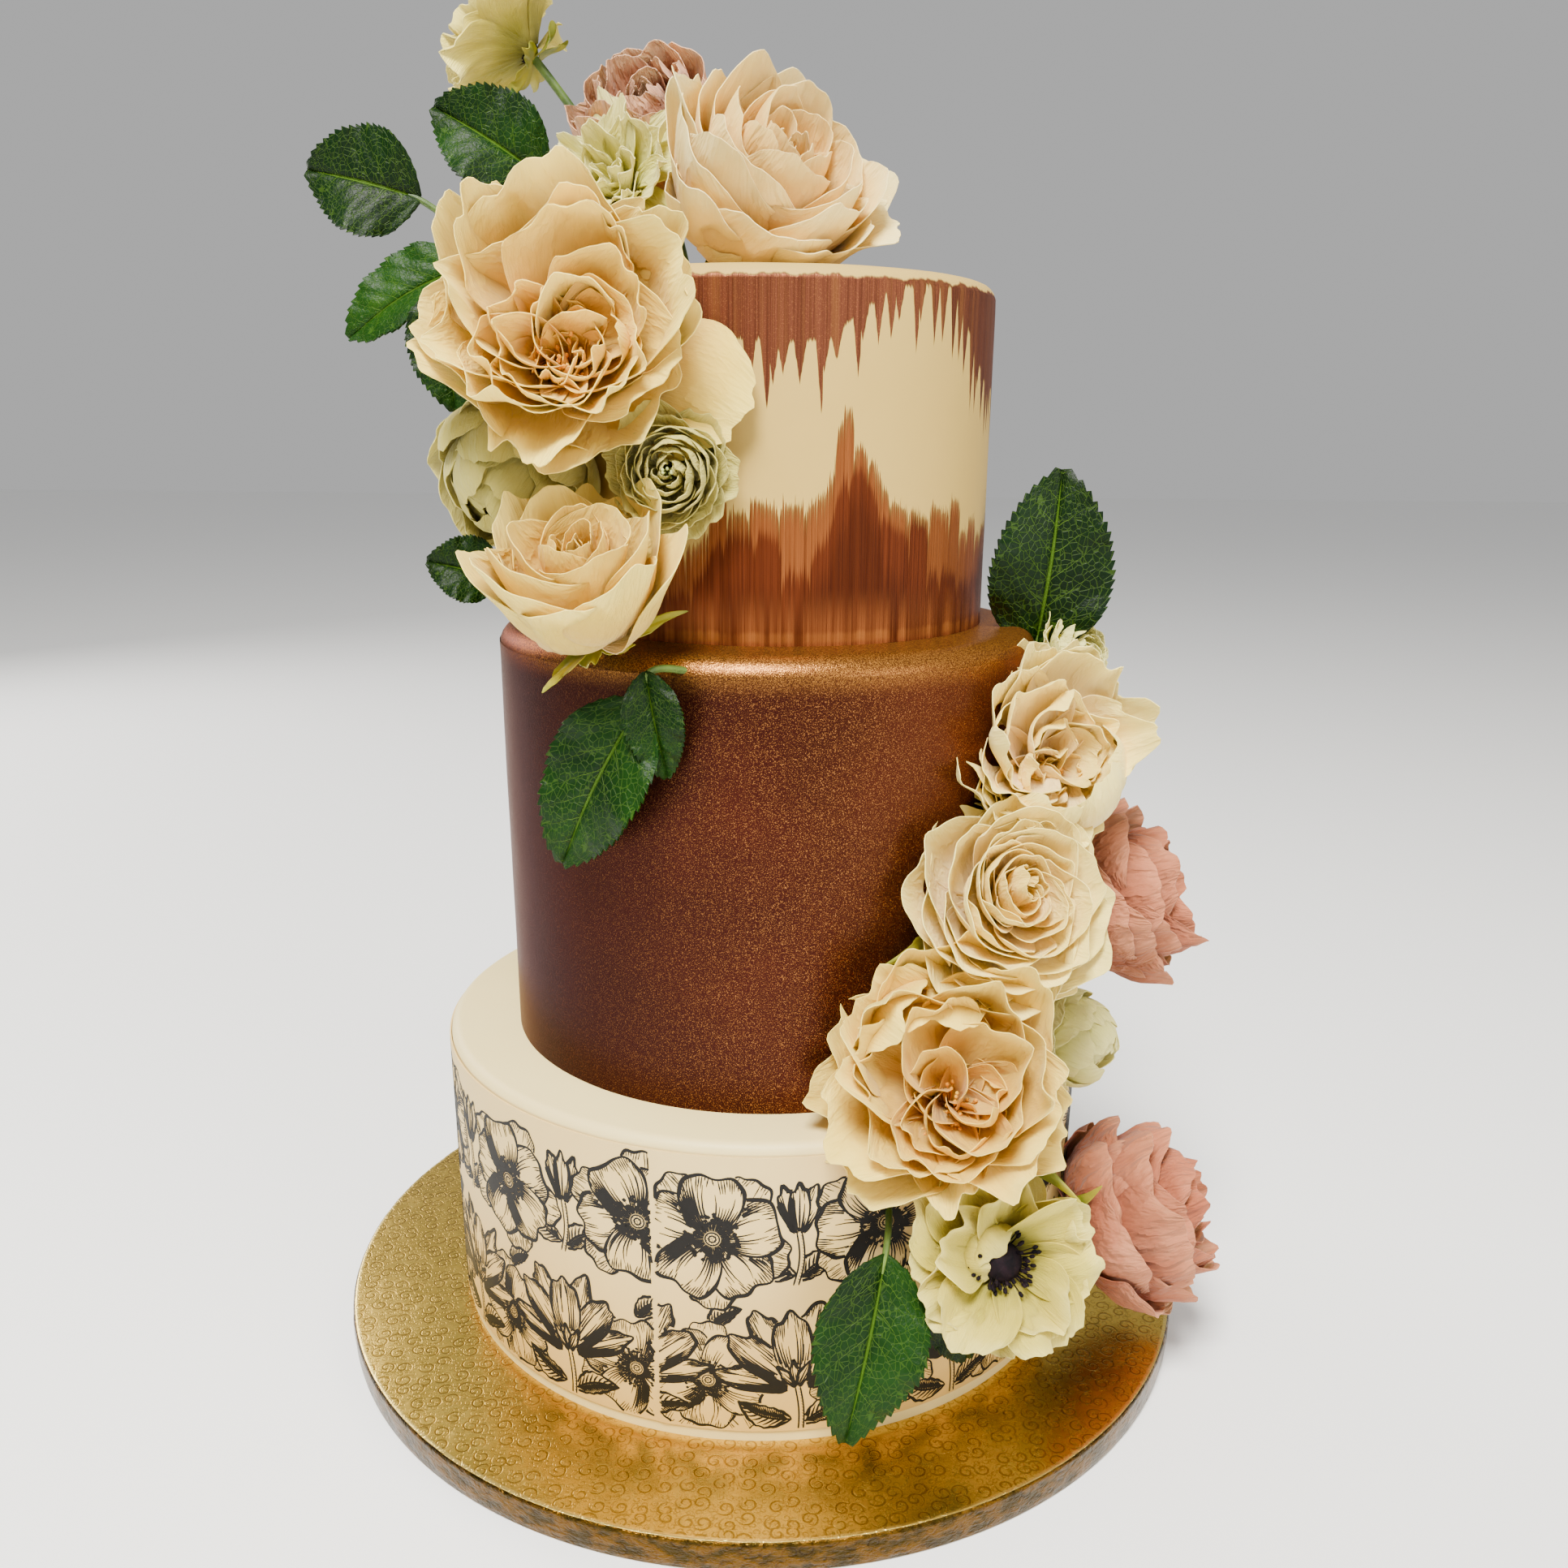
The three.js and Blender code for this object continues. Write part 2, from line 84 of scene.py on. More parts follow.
# %% [markdown]
# ## Working helpers
# Blender's operators act on whatever is selected, so each step starts by deselecting everything. A primitive is
# added at its size, shaped, and given its finish with modifiers that are applied at once. When a piece is ready it
# is named, put on the body it rides on, and the CAD parts it replaces are hidden.

# %% Selection, primitives and finishing
CREASE = 40  # degrees between faces from which an edge stays sharp


def only(obj):
    """Selects one object and makes it active."""
    bpy.ops.object.select_all(action="DESELECT")
    obj.select_set(True)
    bpy.context.view_layer.objects.active = obj
    return obj


def primitive(operator, **values):
    """Adds a primitive with nothing else selected, and makes its place the place of its points."""
    bpy.ops.object.select_all(action="DESELECT")
    operator(**values)
    bpy.ops.object.transform_apply(location=True)
    return bpy.context.object


def apply_modifier(obj, kind, **values):
    """Adds a modifier with the given values and applies it."""
    only(obj)
    modifier = obj.modifiers.new(kind.lower(), kind)
    for key, value in values.items():
        setattr(modifier, key, value)
    bpy.ops.object.modifier_apply(modifier=modifier.name)


def points_of(obj):
    """The mesh's points as an array of rows."""
    rows = np.empty(len(obj.data.vertices) * 3)
    obj.data.vertices.foreach_get("co", rows)
    return rows.reshape(-1, 3)


def move_points(obj, rows):
    obj.data.vertices.foreach_set("co", np.ascontiguousarray(rows, dtype=np.float32).ravel())
    obj.data.update()


def finish(obj, name, slot, material=None, replaced=()):
    """Names a piece, smooths it, sets its material, puts it on the root body and hides the CAD parts it replaces."""
    only(obj)
    bpy.ops.object.transform_apply(location=True, rotation=True, scale=True)
    obj.name = obj.data.name = name
    bpy.ops.object.shade_smooth_by_angle(angle=math.radians(CREASE))
    if material:
        obj.data.materials.clear()
        obj.data.materials.append(material)
    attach(obj, "root")
    if replaced:
        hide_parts(*replaced)
    print(f"{name}: {len(obj.data.polygons)} faces")
    return obj


# %% Directions round the cake
def direction(azimuth, elevation):
    """Unit vector at an azimuth from the front towards +X, and an elevation above level."""
    a, e = math.radians(azimuth), math.radians(elevation)
    return Vector((math.sin(a) * math.cos(e), -math.cos(a) * math.cos(e), math.sin(e)))


def place(azimuth, distance, height):
    """Point at an azimuth, a distance from the cake's axis and a height."""
    return direction(azimuth, 0) * distance + Vector((0, 0, height))


def srgb(code):
    """Linear colour from a six-digit code, because shaders work in linear light."""
    channels = [int(code[i:i + 2], 16) / 255 for i in (0, 2, 4)]
    return [c / 12.92 if c <= 0.04045 else ((c + 0.055) / 1.055) ** 2.4 for c in channels] + [1.0]


# %% [markdown]
# ## Material helpers
# A material is a tree of nodes. Most of the trees below are chains of the same few nodes, so one small class adds a
# node, sets its sockets and links what it is given. Numbers that are the same all over a surface are set straight on
# the shader, and only values that change over it are linked.

# %% A small hand for node trees
class Tree:
    """Adds nodes to a material or a group; a value that is a socket is linked, any other is set."""

    def __init__(self, tree):
        self.tree = tree

    def put(self, socket, value):
        if isinstance(value, bpy.types.NodeSocket):
            self.tree.links.new(value, socket)
        else:
            socket.default_value = value

    def add(self, kind, inputs=None, **settings):
        node = self.tree.nodes.new(kind)
        for key, value in settings.items():
            setattr(node, key, value)
        for key, value in (inputs or {}).items():
            self.put(node.inputs[key], value)
        return node

    def math(self, operation, a, b=0.0, c=0.0, clamp=False):
        return self.add("ShaderNodeMath", {0: a, 1: b, 2: c}, operation=operation, use_clamp=clamp).outputs[0]

    def times(self, a, b):
        return self.math("MULTIPLY", a, b)

    def plus(self, a, b):
        return self.math("ADD", a, b)

    def minus(self, a, b):
        return self.math("SUBTRACT", a, b)

    def rest(self, a):
        """What is missing to 1."""
        return self.math("SUBTRACT", 1, a)

    def line(self, a, slope, start):
        """A straight line of a: start, and slope for each unit of it."""
        return self.math("MULTIPLY_ADD", a, slope, start)

    def most(self, a, b):
        """The greater of the two."""
        return self.math("MAXIMUM", a, b)

    def away(self, a):
        """How far a is from 0."""
        return self.math("ABSOLUTE", a)

    def where(self):
        """The point's own place, in metres."""
        return self.add("ShaderNodeTexCoord").outputs["Object"]

    def axes(self, vector):
        return self.add("ShaderNodeSeparateXYZ", {0: vector}).outputs

    def vector(self, x, y, z=0.0):
        return self.add("ShaderNodeCombineXYZ", {0: x, 1: y, 2: z}).outputs[0]

    def offset(self, vector, origin):
        return self.add("ShaderNodeVectorMath", {0: vector, 1: origin}, operation="SUBTRACT").outputs[0]

    def attribute(self, name):
        return self.add("ShaderNodeAttribute", attribute_name=name).outputs["Fac"]

    def own_map(self):
        """The mesh's UV map: across a petal or leaf, and along it."""
        return self.add("ShaderNodeUVMap", uv_map="UVMap").outputs[0]

    def own_value(self, cells):
        """A chance value that is the same all over a Voronoi cell."""
        return self.add("ShaderNodeSeparateColor", {0: cells["Color"]}).outputs[0]

    def noise(self, vector, scale, detail=3.0, rough=0.55, stretch=None):
        """Fractal noise from 0 to 1, on a vector that may be stretched first."""
        if stretch:
            vector = self.add("ShaderNodeMapping", {"Vector": vector, "Scale": stretch}).outputs[0]
        values = {"Vector": vector, "Scale": scale, "Detail": detail, "Roughness": rough}
        return self.add("ShaderNodeTexNoise", values).outputs["Fac"]

    def ramp(self, value, stops):
        """Colour ramp through (position, colour code) stops."""
        node = self.add("ShaderNodeValToRGB", {"Fac": value})
        elements = node.color_ramp.elements
        while len(elements) < len(stops):
            elements.new(0.5)
        for element, (position, code) in zip(elements, stops):
            element.position, element.color = position, srgb(code)
        return node.outputs["Color"]

    def mix(self, share, a, b, blend="MIX"):
        node = self.add("ShaderNodeMix", data_type="RGBA", blend_type=blend)
        for index, value in ((0, share), (6, a), (7, b)):  # the sockets of a mix of colours
            self.put(node.inputs[index], srgb(value) if isinstance(value, str) else value)
        return node.outputs[2]

    def step(self, value, low, high):
        """0 below low, 1 above high and smooth between them."""
        inputs = {"Value": value, "From Min": low, "From Max": high}
        return self.add("ShaderNodeMapRange", inputs, interpolation_type="SMOOTHSTEP").outputs[0]

    def group(self, group, **inputs):
        return self.add("ShaderNodeGroup", inputs, node_tree=group).outputs

    def bump(self, height, distance, strength=1.0, normal=None):
        below = {"Normal": normal} if normal else {}
        inputs = {"Height": height, "Distance": distance, "Strength": strength, **below}
        return self.add("ShaderNodeBump", inputs).outputs[0]

    def fill(self, sockets, **inputs):
        """Sets or links sockets by name; underscores stand for the spaces in their names."""
        for key, value in inputs.items():
            self.put(sockets[key.replace("_", " ")], value)

    def surface(self, **inputs):
        self.fill(self.tree.nodes["Principled BSDF"].inputs, **inputs)


def new_material(name):
    material = bpy.data.materials.new(name)
    material.use_nodes = True
    return material, Tree(material.node_tree)


def new_group(name, outputs, **inputs):
    """A shader group with a Vector and more inputs by their defaults; every output but Color is a number."""
    group = bpy.data.node_groups.new(name, "ShaderNodeTree")
    group.interface.new_socket("Vector", in_out="INPUT", socket_type="NodeSocketVector")
    for title, default in inputs.items():
        group.interface.new_socket(title, in_out="INPUT", socket_type="NodeSocketFloat").default_value = default
    for title in outputs:
        kind = "NodeSocketColor" if title == "Color" else "NodeSocketFloat"
        group.interface.new_socket(title, in_out="OUTPUT", socket_type=kind)
    tree = Tree(group)
    return group, tree, tree.add("NodeGroupInput").outputs, tree.add("NodeGroupOutput").inputs


# %% [markdown]
# ## Fondant tiers
# Fondant is a sugar dough rolled out as a sheet and smoothed over the cake. It leaves a rounded shoulder, a nearly
# straight side and a surface that is never quite flat. A cylinder primitive gives the drum shape, cuts round the side
# give the surface points to move, a bevel of its top edge gives the shoulder, and a faint cloud noise moves it all.

# %% Tier sizes and shapes
TIERS = {  # name: radius, foot height, top height, shoulder, centre x, centre y
    "tier_bottom": (129.5, 12, 132, 4, 0, 0),
    "tier_middle": (102, 132, 292, 8, 1, -5),
    "tier_top": (80.5, 292, 410, 6, 2, -1),
}
FACETS = 192
HOLLOW_DEPTH, HOLLOW_SIZE = 0.5, 0.05  # millimetres of unevenness, and metres from one hollow to the next
NO_HEIGHT = 1e-5  # metres; two points nearer than this in height are level
bpy.context.tool_settings.mesh_select_mode = (False, True, False)


def edit_edges(obj, wanted):
    """Goes into edit mode with just the edges for which wanted(a, b) holds, a and b being their end points."""
    only(obj)
    bpy.ops.object.mode_set(mode="EDIT")
    bpy.ops.mesh.select_all(action="DESELECT")
    bpy.ops.object.mode_set(mode="OBJECT")
    points = obj.data.vertices
    for edge in obj.data.edges:
        edge.select = bool(wanted(points[edge.vertices[0]].co, points[edge.vertices[1]].co))
    bpy.ops.object.mode_set(mode="EDIT")


def cut_side(obj, cuts):
    """Cuts the upright edges of a cylinder, so that its side has rows of points."""
    edit_edges(obj, lambda a, b: abs(a.z - b.z) > NO_HEIGHT)
    bpy.ops.mesh.subdivide(number_cuts=cuts)
    bpy.ops.object.mode_set(mode="OBJECT")


def round_slab(radius, low, high, shoulder, centre=(0, 0), rings=24, facets=FACETS):
    """A cylinder with a rounded top edge and level cuts round its side."""
    middle = (centre[0] * MM, centre[1] * MM, (low + high) / 2 * MM)
    obj = primitive(bpy.ops.mesh.primitive_cylinder_add, vertices=facets, radius=radius * MM, depth=(high - low) * MM,
                    location=middle)
    cut_side(obj, rings)
    edit_edges(obj, lambda a, b: min(a.z, b.z) > high * MM - NO_HEIGHT)
    bpy.ops.mesh.bevel(offset=shoulder * MM, segments=6, affect="EDGES", clamp_overlap=False)
    bpy.ops.object.mode_set(mode="OBJECT")
    return obj


def hand_smoothed(obj):
    """Moves the surface by a faint cloud, as a smoothing paddle leaves it."""
    cloud = bpy.data.textures.new("smoothing", "CLOUDS")
    cloud.noise_scale = HOLLOW_SIZE
    apply_modifier(obj, "DISPLACE", texture=cloud, strength=HOLLOW_DEPTH * MM, mid_level=0.5,
                   texture_coords="GLOBAL", direction="NORMAL")


tiers = {}
for name, (radius, low, high, shoulder, x, y) in TIERS.items():
    tiers[name] = round_slab(radius, low, high, shoulder, (x, y))
    hand_smoothed(tiers[name])
    print(name, "radius", radius, "mm, height", high - low, "mm")

# %% [markdown]
# ## Printed wrap
# The print is a thin icing sheet, rolled once round the bottom tier and stuck down where its ends meet. An open
# cylinder has the right shape already, so it only needs cuts round its side, a small step where one end lies over
# the other, and a thickness from Solidify.

# %% Roll the icing sheet
WRAP_FACETS, WRAP_ROWS = 360, 12
WRAP_RADIUS = 129.9  # its inner face, against the tier
WRAP_LOW, WRAP_HIGH, WRAP_THICKNESS = 17, 128, 0.6
SEAM_AZIMUTH = -17  # where the sheet's ends meet
SEAM_STEP = 0.45
SEAM_SPREAD = 7  # degrees over which the upper end settles on to the tier

wrap = primitive(bpy.ops.mesh.primitive_cylinder_add, vertices=WRAP_FACETS, radius=WRAP_RADIUS * MM,
                 depth=(WRAP_HIGH - WRAP_LOW) * MM, location=(0, 0, (WRAP_HIGH + WRAP_LOW) / 2 * MM),
                 end_fill_type="NOTHING")
cut_side(wrap, WRAP_ROWS)
apply_modifier(wrap, "SOLIDIFY", thickness=WRAP_THICKNESS * MM, offset=1)


def seam_lift(azimuth):
    """How far the sheet's upper end stands off, falling away to one side of the seam."""
    past = (azimuth - SEAM_AZIMUTH) % 360
    return SEAM_STEP * np.clip(1 - past / SEAM_SPREAD, 0, 1) ** 2


rows = points_of(wrap)
azimuth = np.degrees(np.arctan2(rows[:, 0], -rows[:, 1]))
radius = np.hypot(rows[:, 0], rows[:, 1])
outer = radius > (WRAP_RADIUS + WRAP_THICKNESS / 2) * MM
rows[:, :2] *= (1 + outer * seam_lift(azimuth) * MM / radius)[:, None]
move_points(wrap, rows)
print("wrap:", round(2 * math.pi * WRAP_RADIUS), "mm long,", WRAP_HIGH - WRAP_LOW, "mm high")

# %% [markdown]
# ## Cake drum
# The drum is a 12 mm board. Its foil is pressed with a pattern and folded over the edge, where it gathers in small
# pleats. The edge is modelled, because it shows in the outline: the side of a many-sided cylinder is pushed in and
# out by a sum of waves of different lengths. The pressed pattern is too fine for points and stays in the material.

# %% Shape the drum
DRUM_RADIUS, DRUM_HEIGHT = 177.8, 12.0
FOLDED_EDGE = 3  # how far in from the side the foil is gathered
PLEATS = (17, 29, 47, 71, 97)  # waves round the edge
PLEAT_DEPTH, PLEAT_RISE = 0.22, 0.12
TUCK_UNDER = 0.5  # how far the foil draws in at the foot
drum = round_slab(DRUM_RADIUS, 0, DRUM_HEIGHT, shoulder=1.6, rings=6, facets=720)
rows = points_of(drum)
angle = np.arctan2(rows[:, 0], -rows[:, 1])
radius = np.hypot(rows[:, 0], rows[:, 1])
height = rows[:, 2] / (DRUM_HEIGHT * MM)
pleat = sum(np.sin(n * angle + n * n) for n in PLEATS) / len(PLEATS)
belly = np.sin(np.pi * np.clip(height, 0, 1)) ** 0.5
rim = radius > (DRUM_RADIUS - FOLDED_EDGE) * MM
push = rim * (PLEAT_DEPTH * pleat * belly - TUCK_UNDER * (1 - belly) * (height < 0.5)) * MM
rows[:, :2] *= (1 + push / radius)[:, None]
rows[:, 2] += rim * (height > 0.8) * PLEAT_RISE * MM * pleat
move_points(drum, rows)
print("drum:", 2 * DRUM_RADIUS, "mm across")

# %% [markdown]
# ## Fabric petals
# A fabric flower is a stack of petals punched from stiffened cloth and pressed into a curve over heat. Every petal is
# the same kind of sheet: narrow at its claw, wide near the rim, hollow across and bent outwards or inwards along.
# Modelling a few hundred by hand would be slow, and copies of one would look copied. So one grid primitive is the
# blank, and its points are carried to a formula with names a florist would know, with small seeded differences.

# %% The petal blank
blank = primitive(bpy.ops.mesh.primitive_grid_add, x_subdivisions=20, y_subdivisions=14, size=2)
BLANK_POINTS = points_of(blank)
BLANK_FACES = np.array([face.vertices[:] for face in blank.data.polygons])
ACROSS = BLANK_POINTS[:, 0]  # -1 to 1
ALONG = (BLANK_POINTS[:, 1] + 1) / 2  # 0 at the claw, 1 at the rim
bpy.data.objects.remove(blank)
print("blank:", len(BLANK_FACES), "faces")

# %% The petal formula
# Lengths are shares of the flower's radius. Along its middle a petal runs from its claw, near the flower's axis, to
# the point (out, up), and leaves it leaning that many degrees above the flower's face.
PETAL = {
    "width": 0.9,     # at the widest, along the curve
    "rise": 75,       # degrees above the face at which it leaves the claw
    "claw": 0.1,      # how far from the axis it starts
    "cup": 0.25,      # hollow across, besides what bends it round the flower
    "narrow": 0.3,    # width at the claw
    "square": 0.43,   # 0.5 rounds it off as an ellipse, less is fuller, more is pointed
    "point": 0.0,     # a tip in the middle of the rim
    "lobes": 0.0,     # two or three broad, shallow lobes of the rim
    "ragged": 0.02,   # small uneven scallops of the rim
    "curl": 0.0,      # how far the rim turns back
    "ruffle": 0.03,   # waves near the rim
    "frill": 0.0,     # small waves at the very rim
    "crinkle": 0.0,   # creases all over
    "ribs": 0.0,      # grooves from claw to rim
    "tuck": 0.05,     # one side under its neighbour, the other over
    "swing": 0.06,    # how unlike its neighbours it is
    "shift": (0, 0),  # how far its ring lies off the flower's middle
    "yaw": 0,         # degrees it may be turned about its own claw
    "tilt": 0.0,      # how much taller and more upright the ring is at the top than at the bottom
}
ROUND_FROM = 0.58  # share of its length past which the outline rounds off
FIRST_STEP = -0.125  # where the outermost ring starts, in steps from petal to petal


def midline(shape, t):
    """Distance from the axis, height and direction of a petal's middle line, a cubic Bezier curve."""
    rise, lean = math.radians(shape.rise), math.radians(shape.lean)
    start = np.array([shape.claw * shape.out, 0.02])
    end = np.array([shape.out, shape.up])
    pull = 0.42 * np.linalg.norm(end - start)
    points = [start, start + pull * np.array([math.cos(rise), math.sin(rise)]),
              end - pull * np.array([math.cos(lean), math.sin(lean)]), end]
    a, b, c, d = (np.outer(f, p) for f, p in zip(
        ((1 - t) ** 3, 3 * t * (1 - t) ** 2, 3 * t * t * (1 - t), t ** 3), points))
    e, f, g = (np.outer(f, q - p) for f, p, q in zip(
        ((1 - t) ** 2, 2 * t * (1 - t), t * t), points, points[1:]))
    slope = e + f + g
    return a + b + c + d, slope / np.linalg.norm(slope, axis=1)[:, None]


def petal_points(shape, rng):
    """The blank's points carried to one petal that stands on the +X side of its flower."""
    u, v = ACROSS, ALONG
    phase = rng.uniform(0, 2 * np.pi, 6)
    w = np.clip((v - ROUND_FROM) / (1 - ROUND_FROM), 0, 1)
    u, b = u * (1 - 0.5 * w * w) ** shape.square, w * (1 - 0.5 * u * u) ** shape.square
    t = np.where(w > 0, ROUND_FROM + (1 - ROUND_FROM) * b, v)
    scallop = np.sin(7 * u + phase[0]) + 0.8 * np.sin(12 * u + phase[1]) + 0.5 * np.sin(23 * u + phase[2])
    edge = shape.lobes * np.cos(4.5 * u + phase[3]) + shape.ragged * scallop
    t += (edge + shape.point * np.exp(-(u / 0.2) ** 2)) * w ** 3
    middle, slope = midline(shape, t)
    inward = np.stack([-slope[:, 1], slope[:, 0]], axis=1)
    half = shape.width / 2 * (shape.narrow + (1 - shape.narrow) * np.sin(np.pi / 2 * np.minimum(t / 0.6, 1)))
    bend = slope[:, 1] / np.maximum(middle[:, 0], 0.1) + shape.cup * 2 / shape.width
    bend = np.clip(bend, 0.02, 2.3 / half)
    turn = u * half * bend
    side = np.sin(turn) / bend
    lift = (1 - np.cos(turn)) / bend
    rim = np.clip((t - 0.68) / 0.32, 0, 1.2) ** 2
    lift -= shape.curl * rim
    waves = np.sin(5 * u + phase[3]) + 0.6 * np.sin(9 * u + phase[4])
    lift += shape.ruffle * waves * np.clip(t, 0, 1) ** 2.5
    lift += shape.frill * np.sin(14 * u + phase[0]) * np.clip(t, 0, 1) ** 8
    lift += shape.crinkle * np.sin(9 * u + 7 * t + phase[4]) * np.sin(11 * t - 4 * u + phase[5]) * t
    lift += shape.ribs * np.cos(17 * u) * t * (1 - 0.5 * t)
    lift += shape.tuck * u * np.minimum(1, 2 * t)
    flat = middle + inward * lift[:, None]
    return np.stack([flat[:, 0], side, flat[:, 1]], axis=1)


def turned_about(points, axis, angle):
    """Points turned about the X, Y or Z axis by an angle in radians."""
    return points @ np.array(Matrix.Rotation(angle, 3, axis)).T


# %% Rings of petals joined into one head
CLOTH = 0.3  # thickness of the stiffened cloth


def petal_head(rings, radius, rng, strays=(), turn=0.0):
    """All petals of a flower as one mesh object in the flower's own frame, centred on its base."""
    points, tints, depths = [], [], []

    def keep(petal, angle, shape, tint, depth):
        points.append(turned_about(petal, "Z", angle) + np.array([*shape.shift, 0]))
        tints.append(np.full(len(petal), tint))
        depths.append(np.full(len(petal), depth))

    for level, ring in enumerate(rings):
        for k in range(ring["count"]):
            shape = SimpleNamespace(**{**PETAL, **ring})
            swing = shape.swing
            start = FIRST_STEP + (len(rings) - 1 - level) / 2  # rings start half a step apart
            angle = 2 * np.pi * (k + start + swing * rng.normal()) / ring["count"] + turn
            height = shape.tilt * math.sin(angle)
            shape.up *= 1 + height
            shape.lean += 60 * height
            shape.out *= 1 + swing * rng.normal()
            shape.up *= 1 + 0.6 * swing * rng.normal()
            shape.lean += 100 * swing * rng.normal()
            shape.width *= 1 + 1.2 * swing * rng.normal()
            petal = turned_about(petal_points(shape, rng), "X", swing * rng.normal())
            claw = np.array([shape.claw * shape.out, 0, 0])
            petal = turned_about(petal - claw, "Z", math.radians(shape.yaw) * rng.normal()) + claw
            keep(petal, angle, shape, rng.uniform(), (level + 1) / len(rings))
    ringed = np.concatenate(points)
    widest = np.percentile(np.hypot(ringed[:, 0], ringed[:, 1]), 97)
    for petal in points:
        petal[:, :2] *= min(1, 0.97 / widest)
    for stray in strays:
        shape = SimpleNamespace(**{**PETAL, **stray})
        keep(petal_points(shape, rng), math.radians(shape.turn), shape, 0.5, 1.0)
    faces = np.concatenate([BLANK_FACES + k * len(ACROSS) for k in range(len(points))])
    mesh = bpy.data.meshes.new("head")
    mesh.from_pydata(np.concatenate(points) * radius * MM, [], faces.tolist())
    layer = mesh.uv_layers.new(name="UVMap")
    corner = np.empty(len(mesh.loops), dtype=int)
    mesh.loops.foreach_get("vertex_index", corner)
    across = np.tile((ACROSS + 1) / 2, len(points))[corner]
    along = np.tile(ALONG, len(points))[corner]
    layer.data.foreach_set("uv", np.stack([across, along], axis=1).ravel())
    for title, values in (("petal_tint", tints), ("petal_depth", depths)):
        mesh.attributes.new(title, "FLOAT", "POINT").data.foreach_set("value", np.concatenate(values))
    obj = bpy.data.objects.new("head", mesh)
    bpy.context.scene.collection.objects.link(obj)
    apply_modifier(obj, "SOLIDIFY", thickness=CLOTH * MM, offset=0)
    return obj


# %% [markdown]
# ## What each kind of flower is made of
# Rings are listed from the heart outwards. A spiral rose has tight upright coils inside and a few wide outer petals
# whose rims turn out; a rosette has more and closer coils, and a goblet rose is taller and seen from its side. A
# peony is a deep bowl of lobed petals round torn ones and yellow stamens. A cabbage rose is a ball of creased petals,
# a ranunculus one of many small hollow petals. An anemone has open layers of ribbed petals and a black heart. A bud
# is closed over its middle, and the filler flower is a tuft of narrow petals.

# %% Rings of each kind
def ring(count, out, up, lean, **more):
    return {"count": count, "out": out, "up": up, "lean": lean, **more}


def styled(style, *rings):
    """Rings that share a style."""
    return [{**style, **ring} for ring in rings]


SOFT_RIM = {"lobes": 0.05, "ragged": 0.021, "ruffle": 0.05, "frill": 0.02, "swing": 0.1, "yaw": 16}
TORN_RIM = {"lobes": 0.06, "ragged": 0.03, "ruffle": 0.05, "frill": 0.02, "swing": 0.14, "yaw": 28}
PEONY = [
    *styled(TORN_RIM,
        ring(4, 0.16, 0.54, 98, width=0.48, rise=88, shift=(0.02, -0.24)),
        ring(4, 0.30, 0.66, 106, width=0.76, rise=86, cup=0.6, shift=(0.03, -0.21)),
        ring(4, 0.46, 0.82, 110, width=0.98, rise=82, cup=0.6, tilt=0.1, shift=(0.02, -0.14))),
    *styled(SOFT_RIM,
        ring(5, 0.63, 0.93, 107, width=1.10, rise=72, cup=0.5, tilt=0.1, curl=0.05, shift=(0, -0.09)),
        ring(6, 0.79, 0.96, 101, width=1.14, rise=50, cup=0.34, tilt=0.09, curl=0.09),
        ring(6, 0.92, 0.84, 90, width=1.22, rise=26, cup=0.24, tilt=0.08, curl=0.13),
        ring(7, 1.00, 0.55, 70, width=1.16, rise=4, cup=0.14, curl=0.06)),
]
OPEN_PEONY = [ring(4, 0.40, 0.56, 96, width=0.80, rise=86, cup=0.5, shift=(0.06, -0.26), **TORN_RIM), *PEONY[2:]]
SMOOTH = {"ragged": 0.008, "ruffle": 0.028, "frill": 0.008, "yaw": 6}
ROSE = [
    ring(3, 0.10, 1.18, 114, width=0.50, rise=88, cup=1.0, tuck=0.03),
    *styled(SMOOTH,
        ring(3, 0.22, 1.28, 114, width=0.90, rise=88, cup=0.8, tuck=0.05),
        ring(3, 0.38, 1.34, 110, width=1.30, rise=84, cup=0.3, tuck=0.07, curl=0.03),
        ring(3, 0.58, 1.38, 104, width=1.70, rise=70, tuck=0.09, curl=0.08, point=0.02),
        ring(3, 0.77, 1.33, 100, width=1.85, rise=40, tuck=0.1, curl=0.14, point=0.03),
        ring(4, 0.91, 1.22, 97, width=1.70, rise=8, tuck=0.1, curl=0.2, point=0.05),
        ring(4, 1.00, 1.02, 92, width=1.70, rise=-20, tuck=0.08, curl=0.24, point=0.07)),
]
ROSETTE = [
    ring(3, 0.09, 0.86, 104, width=0.36, rise=88, cup=1.0, tuck=0.04, shift=(0.12, 0.08)),
    *styled(SMOOTH,
        ring(3, 0.19, 0.90, 102, width=0.62, rise=88, cup=0.6, tuck=0.05, shift=(0.11, 0.07)),
        ring(4, 0.31, 0.94, 100, width=0.82, rise=86, tuck=0.06, shift=(0.1, 0.06)),
        ring(4, 0.44, 0.96, 99, width=1.06, rise=84, tuck=0.08, shift=(0.08, 0.05)),
        ring(5, 0.57, 0.95, 97, width=1.16, rise=76, tuck=0.09, curl=0.04, shift=(0.06, 0.03)),
        ring(5, 0.70, 0.91, 95, width=1.34, rise=60, tuck=0.1, curl=0.07, shift=(0.04, 0.02)),
        ring(5, 0.82, 0.83, 92, width=1.50, rise=42, tuck=0.1, curl=0.1),
        ring(6, 0.93, 0.71, 86, width=1.44, rise=22, tuck=0.09, curl=0.12, point=0.01),
        ring(6, 1.00, 0.50, 74, width=1.40, rise=2, tuck=0.07, curl=0.13, point=0.02)),
]
